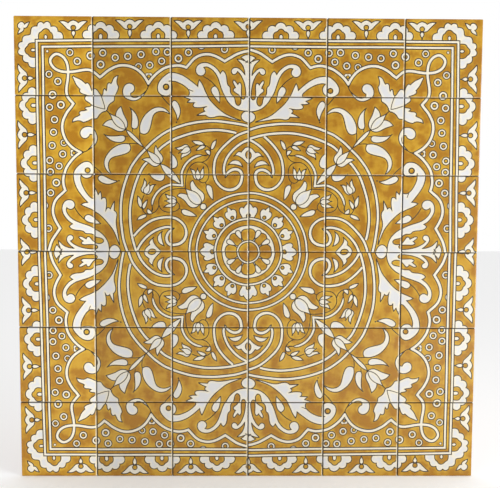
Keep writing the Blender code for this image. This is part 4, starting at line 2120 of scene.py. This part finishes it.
@dataclass
class TilePanel:
    """The thirty-six tiles."""

    size: TileSize = field(default_factory=TileSize)
    side: int = 6

    def build(self) -> list[bpy.types.Object]:
        """Cut the nine different sheets, turn each to its four places and set every tile.

        Returns:
            The tiles.
        """
        cutter = SheetCutter(whole_painting(), self.size)
        marks = DarkJointShadeAndHighlight()
        finishes = [finish.material(marks) for finish in (OchreGlaze(), TinGlaze(), PenLine(), BiscuitClay())]
        half = self.side // 2
        tiles = []
        for column in range(half):
            for row in range(column, half):
                hands = (Hand.RIGHT,) if column == row else (Hand.RIGHT, Hand.LEFT)
                for hand in hands:
                    sheet = cutter.cut(column, row, hand)
                    log.info("cut sheet %d %d %s: %d triangles", column, row, hand.name, len(sheet.triangles))
                    for quarter in range(4):
                        tiles.append(self._set(sheet, column, row, hand, quarter, finishes))
        return tiles

    def _set(
        self, sheet: PaintedSheet, column: int, row: int, hand: Hand, quarter: int, finishes: list[bpy.types.Material]
    ) -> bpy.types.Object:
        """Set one tile in its place and hand it its body, node and finish.

        Args:
            sheet: Its sheet.
            column: Its distance from the middle sideways, in the top arm.
            row: Its distance upwards, in the top arm.
            hand: Its half of the arm.
            quarter: How many quarter turns clockwise its arm is from the top one.
            finishes: The materials, in the order of the paints.

        Returns:
            The tile.
        """
        way = -1.0 if hand is Hand.LEFT else 1.0
        across = way * (column + 0.5)
        up = row + 0.5
        for _ in range(quarter):
            across, up = up, -across
        place = round(across + self.side / 2.0 + 0.5)
        level = round(self.side / 2.0 - up + 0.5)
        node = f"tile_r{level}_c{place}"
        centre = (across * self.size.pitch, up * self.size.pitch)
        open_sides = (place < self.side, level > 1, place > 1, level < self.side)
        turned = sheet.turned(quarter, hand is Hand.LEFT)
        seed = level * self.side + place
        mesh = TileBody(self.size).mesh(f"painted_{node}", turned, centre, open_sides, seed)
        for finish in finishes:
            mesh.materials.append(finish)
        tile = bpy.data.objects.new(f"painted_{node}", mesh)
        bpy.context.collection.objects.link(tile)
        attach(tile, "root")
        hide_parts(node)
        log.info("set %s", tile.name)
        return tile


@dataclass(frozen=True)
class Studio:
    """The floor, the soft light and the camera."""

    eye: tuple[float, float, float] = (-0.006, -1.6, 0.115)
    pitch: float = -0.086
    yaw: float = 0.015
    roll: float = 0.005
    focal: float = 62.7
    shift: tuple[float, float] = (-0.016, 0.04)
    floor: float = -0.4212
    room_front: float = 0.4
    room_back: float = 1.0

    def build(self) -> None:
        """Make them all."""
        self._floor()
        self._lights()
        self._camera()

    def _floor(self) -> None:
        """Lay a large pale floor just under the panel."""
        reach = 6.0
        mesh = bpy.data.meshes.new("pale_floor")
        corners = [(-reach, -reach), (reach, -reach), (reach, reach), (-reach, reach)]
        mesh.from_pydata([(x, y, self.floor) for x, y in corners], [], [(0, 1, 2, 3)])
        bench = FinishBench("floor_paint")
        bench.shader.inputs["Base Color"].default_value = (0.97, 0.97, 0.97, 1.0)
        bench.shader.inputs["Roughness"].default_value = 0.9
        mesh.materials.append(bench.material)
        floor = bpy.data.objects.new("pale_floor", mesh)
        bpy.context.collection.objects.link(floor)

    def _lights(self) -> None:
        """Hang a large soft light to the right and a weaker one to the left, in a pale room.

        The room is white above and behind the panel and dimmer in front of it.
        """
        world = bpy.data.worlds.new("pale_room")
        world.use_nodes = True
        bench = Bench(world.node_tree)
        way = bench.node("ShaderNodeTexCoord", {}, {}, "Generated")
        along = bench.node("ShaderNodeSeparateXYZ", {}, {0: way}, "Y")
        up = bench.node("ShaderNodeSeparateXYZ", {}, {0: way}, "Z")
        behind = (along * 1.5 + up * 1.3 + 0.45).clamped()
        strength = self.room_front + behind * (self.room_back - self.room_front)
        room = bench.node("ShaderNodeBackground", {}, {"Color": (1.0, 1.0, 1.0, 1.0), "Strength": strength})
        bench.add("ShaderNodeOutputWorld", {}, {"Surface": room})
        bpy.context.scene.world = world
        bpy.context.scene.view_settings.view_transform = "Standard"
        for name, spot, power, width in (
            ("key_light", (1.5, -1.3, 0.05), 31.0, 1.0),
            ("fill_light", (-1.8, -2.4, 1.2), 3.0, 1.6),
        ):
            light = bpy.data.lights.new(name, "AREA")
            light.energy = power
            light.size = width
            lamp = bpy.data.objects.new(name, light)
            lamp.location = spot
            lamp.rotation_euler = (-Vector(spot)).to_track_quat("-Z", "Y").to_euler()
            bpy.context.collection.objects.link(lamp)

    def _camera(self) -> None:
        """Set the camera up where the photograph was taken from."""
        data = bpy.data.cameras.new("view")
        data.lens = self.focal
        data.sensor_width = 36.0
        data.shift_x, data.shift_y = self.shift
        reach = math.cos(self.pitch)
        forward = Vector((math.sin(self.yaw) * reach, math.cos(self.yaw) * reach, math.sin(self.pitch)))
        right = Vector((math.cos(self.yaw), -math.sin(self.yaw), 0.0))
        above = right.cross(forward)
        level = right * math.cos(self.roll) + above * math.sin(self.roll)
        upright = above * math.cos(self.roll) - right * math.sin(self.roll)
        camera = bpy.data.objects.new("view", data)
        camera.matrix_world = Matrix(
            (
                (level.x, upright.x, -forward.x, self.eye[0]),
                (level.y, upright.y, -forward.y, self.eye[1]),
                (level.z, upright.z, -forward.z, self.eye[2]),
                (0.0, 0.0, 0.0, 1.0),
            )
        )
        bpy.context.collection.objects.link(camera)
        bpy.context.scene.camera = camera


def main() -> None:
    """Build the studio and the panel."""
    logging.basicConfig(level=logging.INFO, format="%(name)s: %(message)s")
    Studio().build()
    tiles = TilePanel().build()
    log.info("%d tiles, %d triangles", len(tiles), sum(len(p.vertices) - 2 for t in tiles for p in t.data.polygons))


if __name__ == "__main__":
    main()
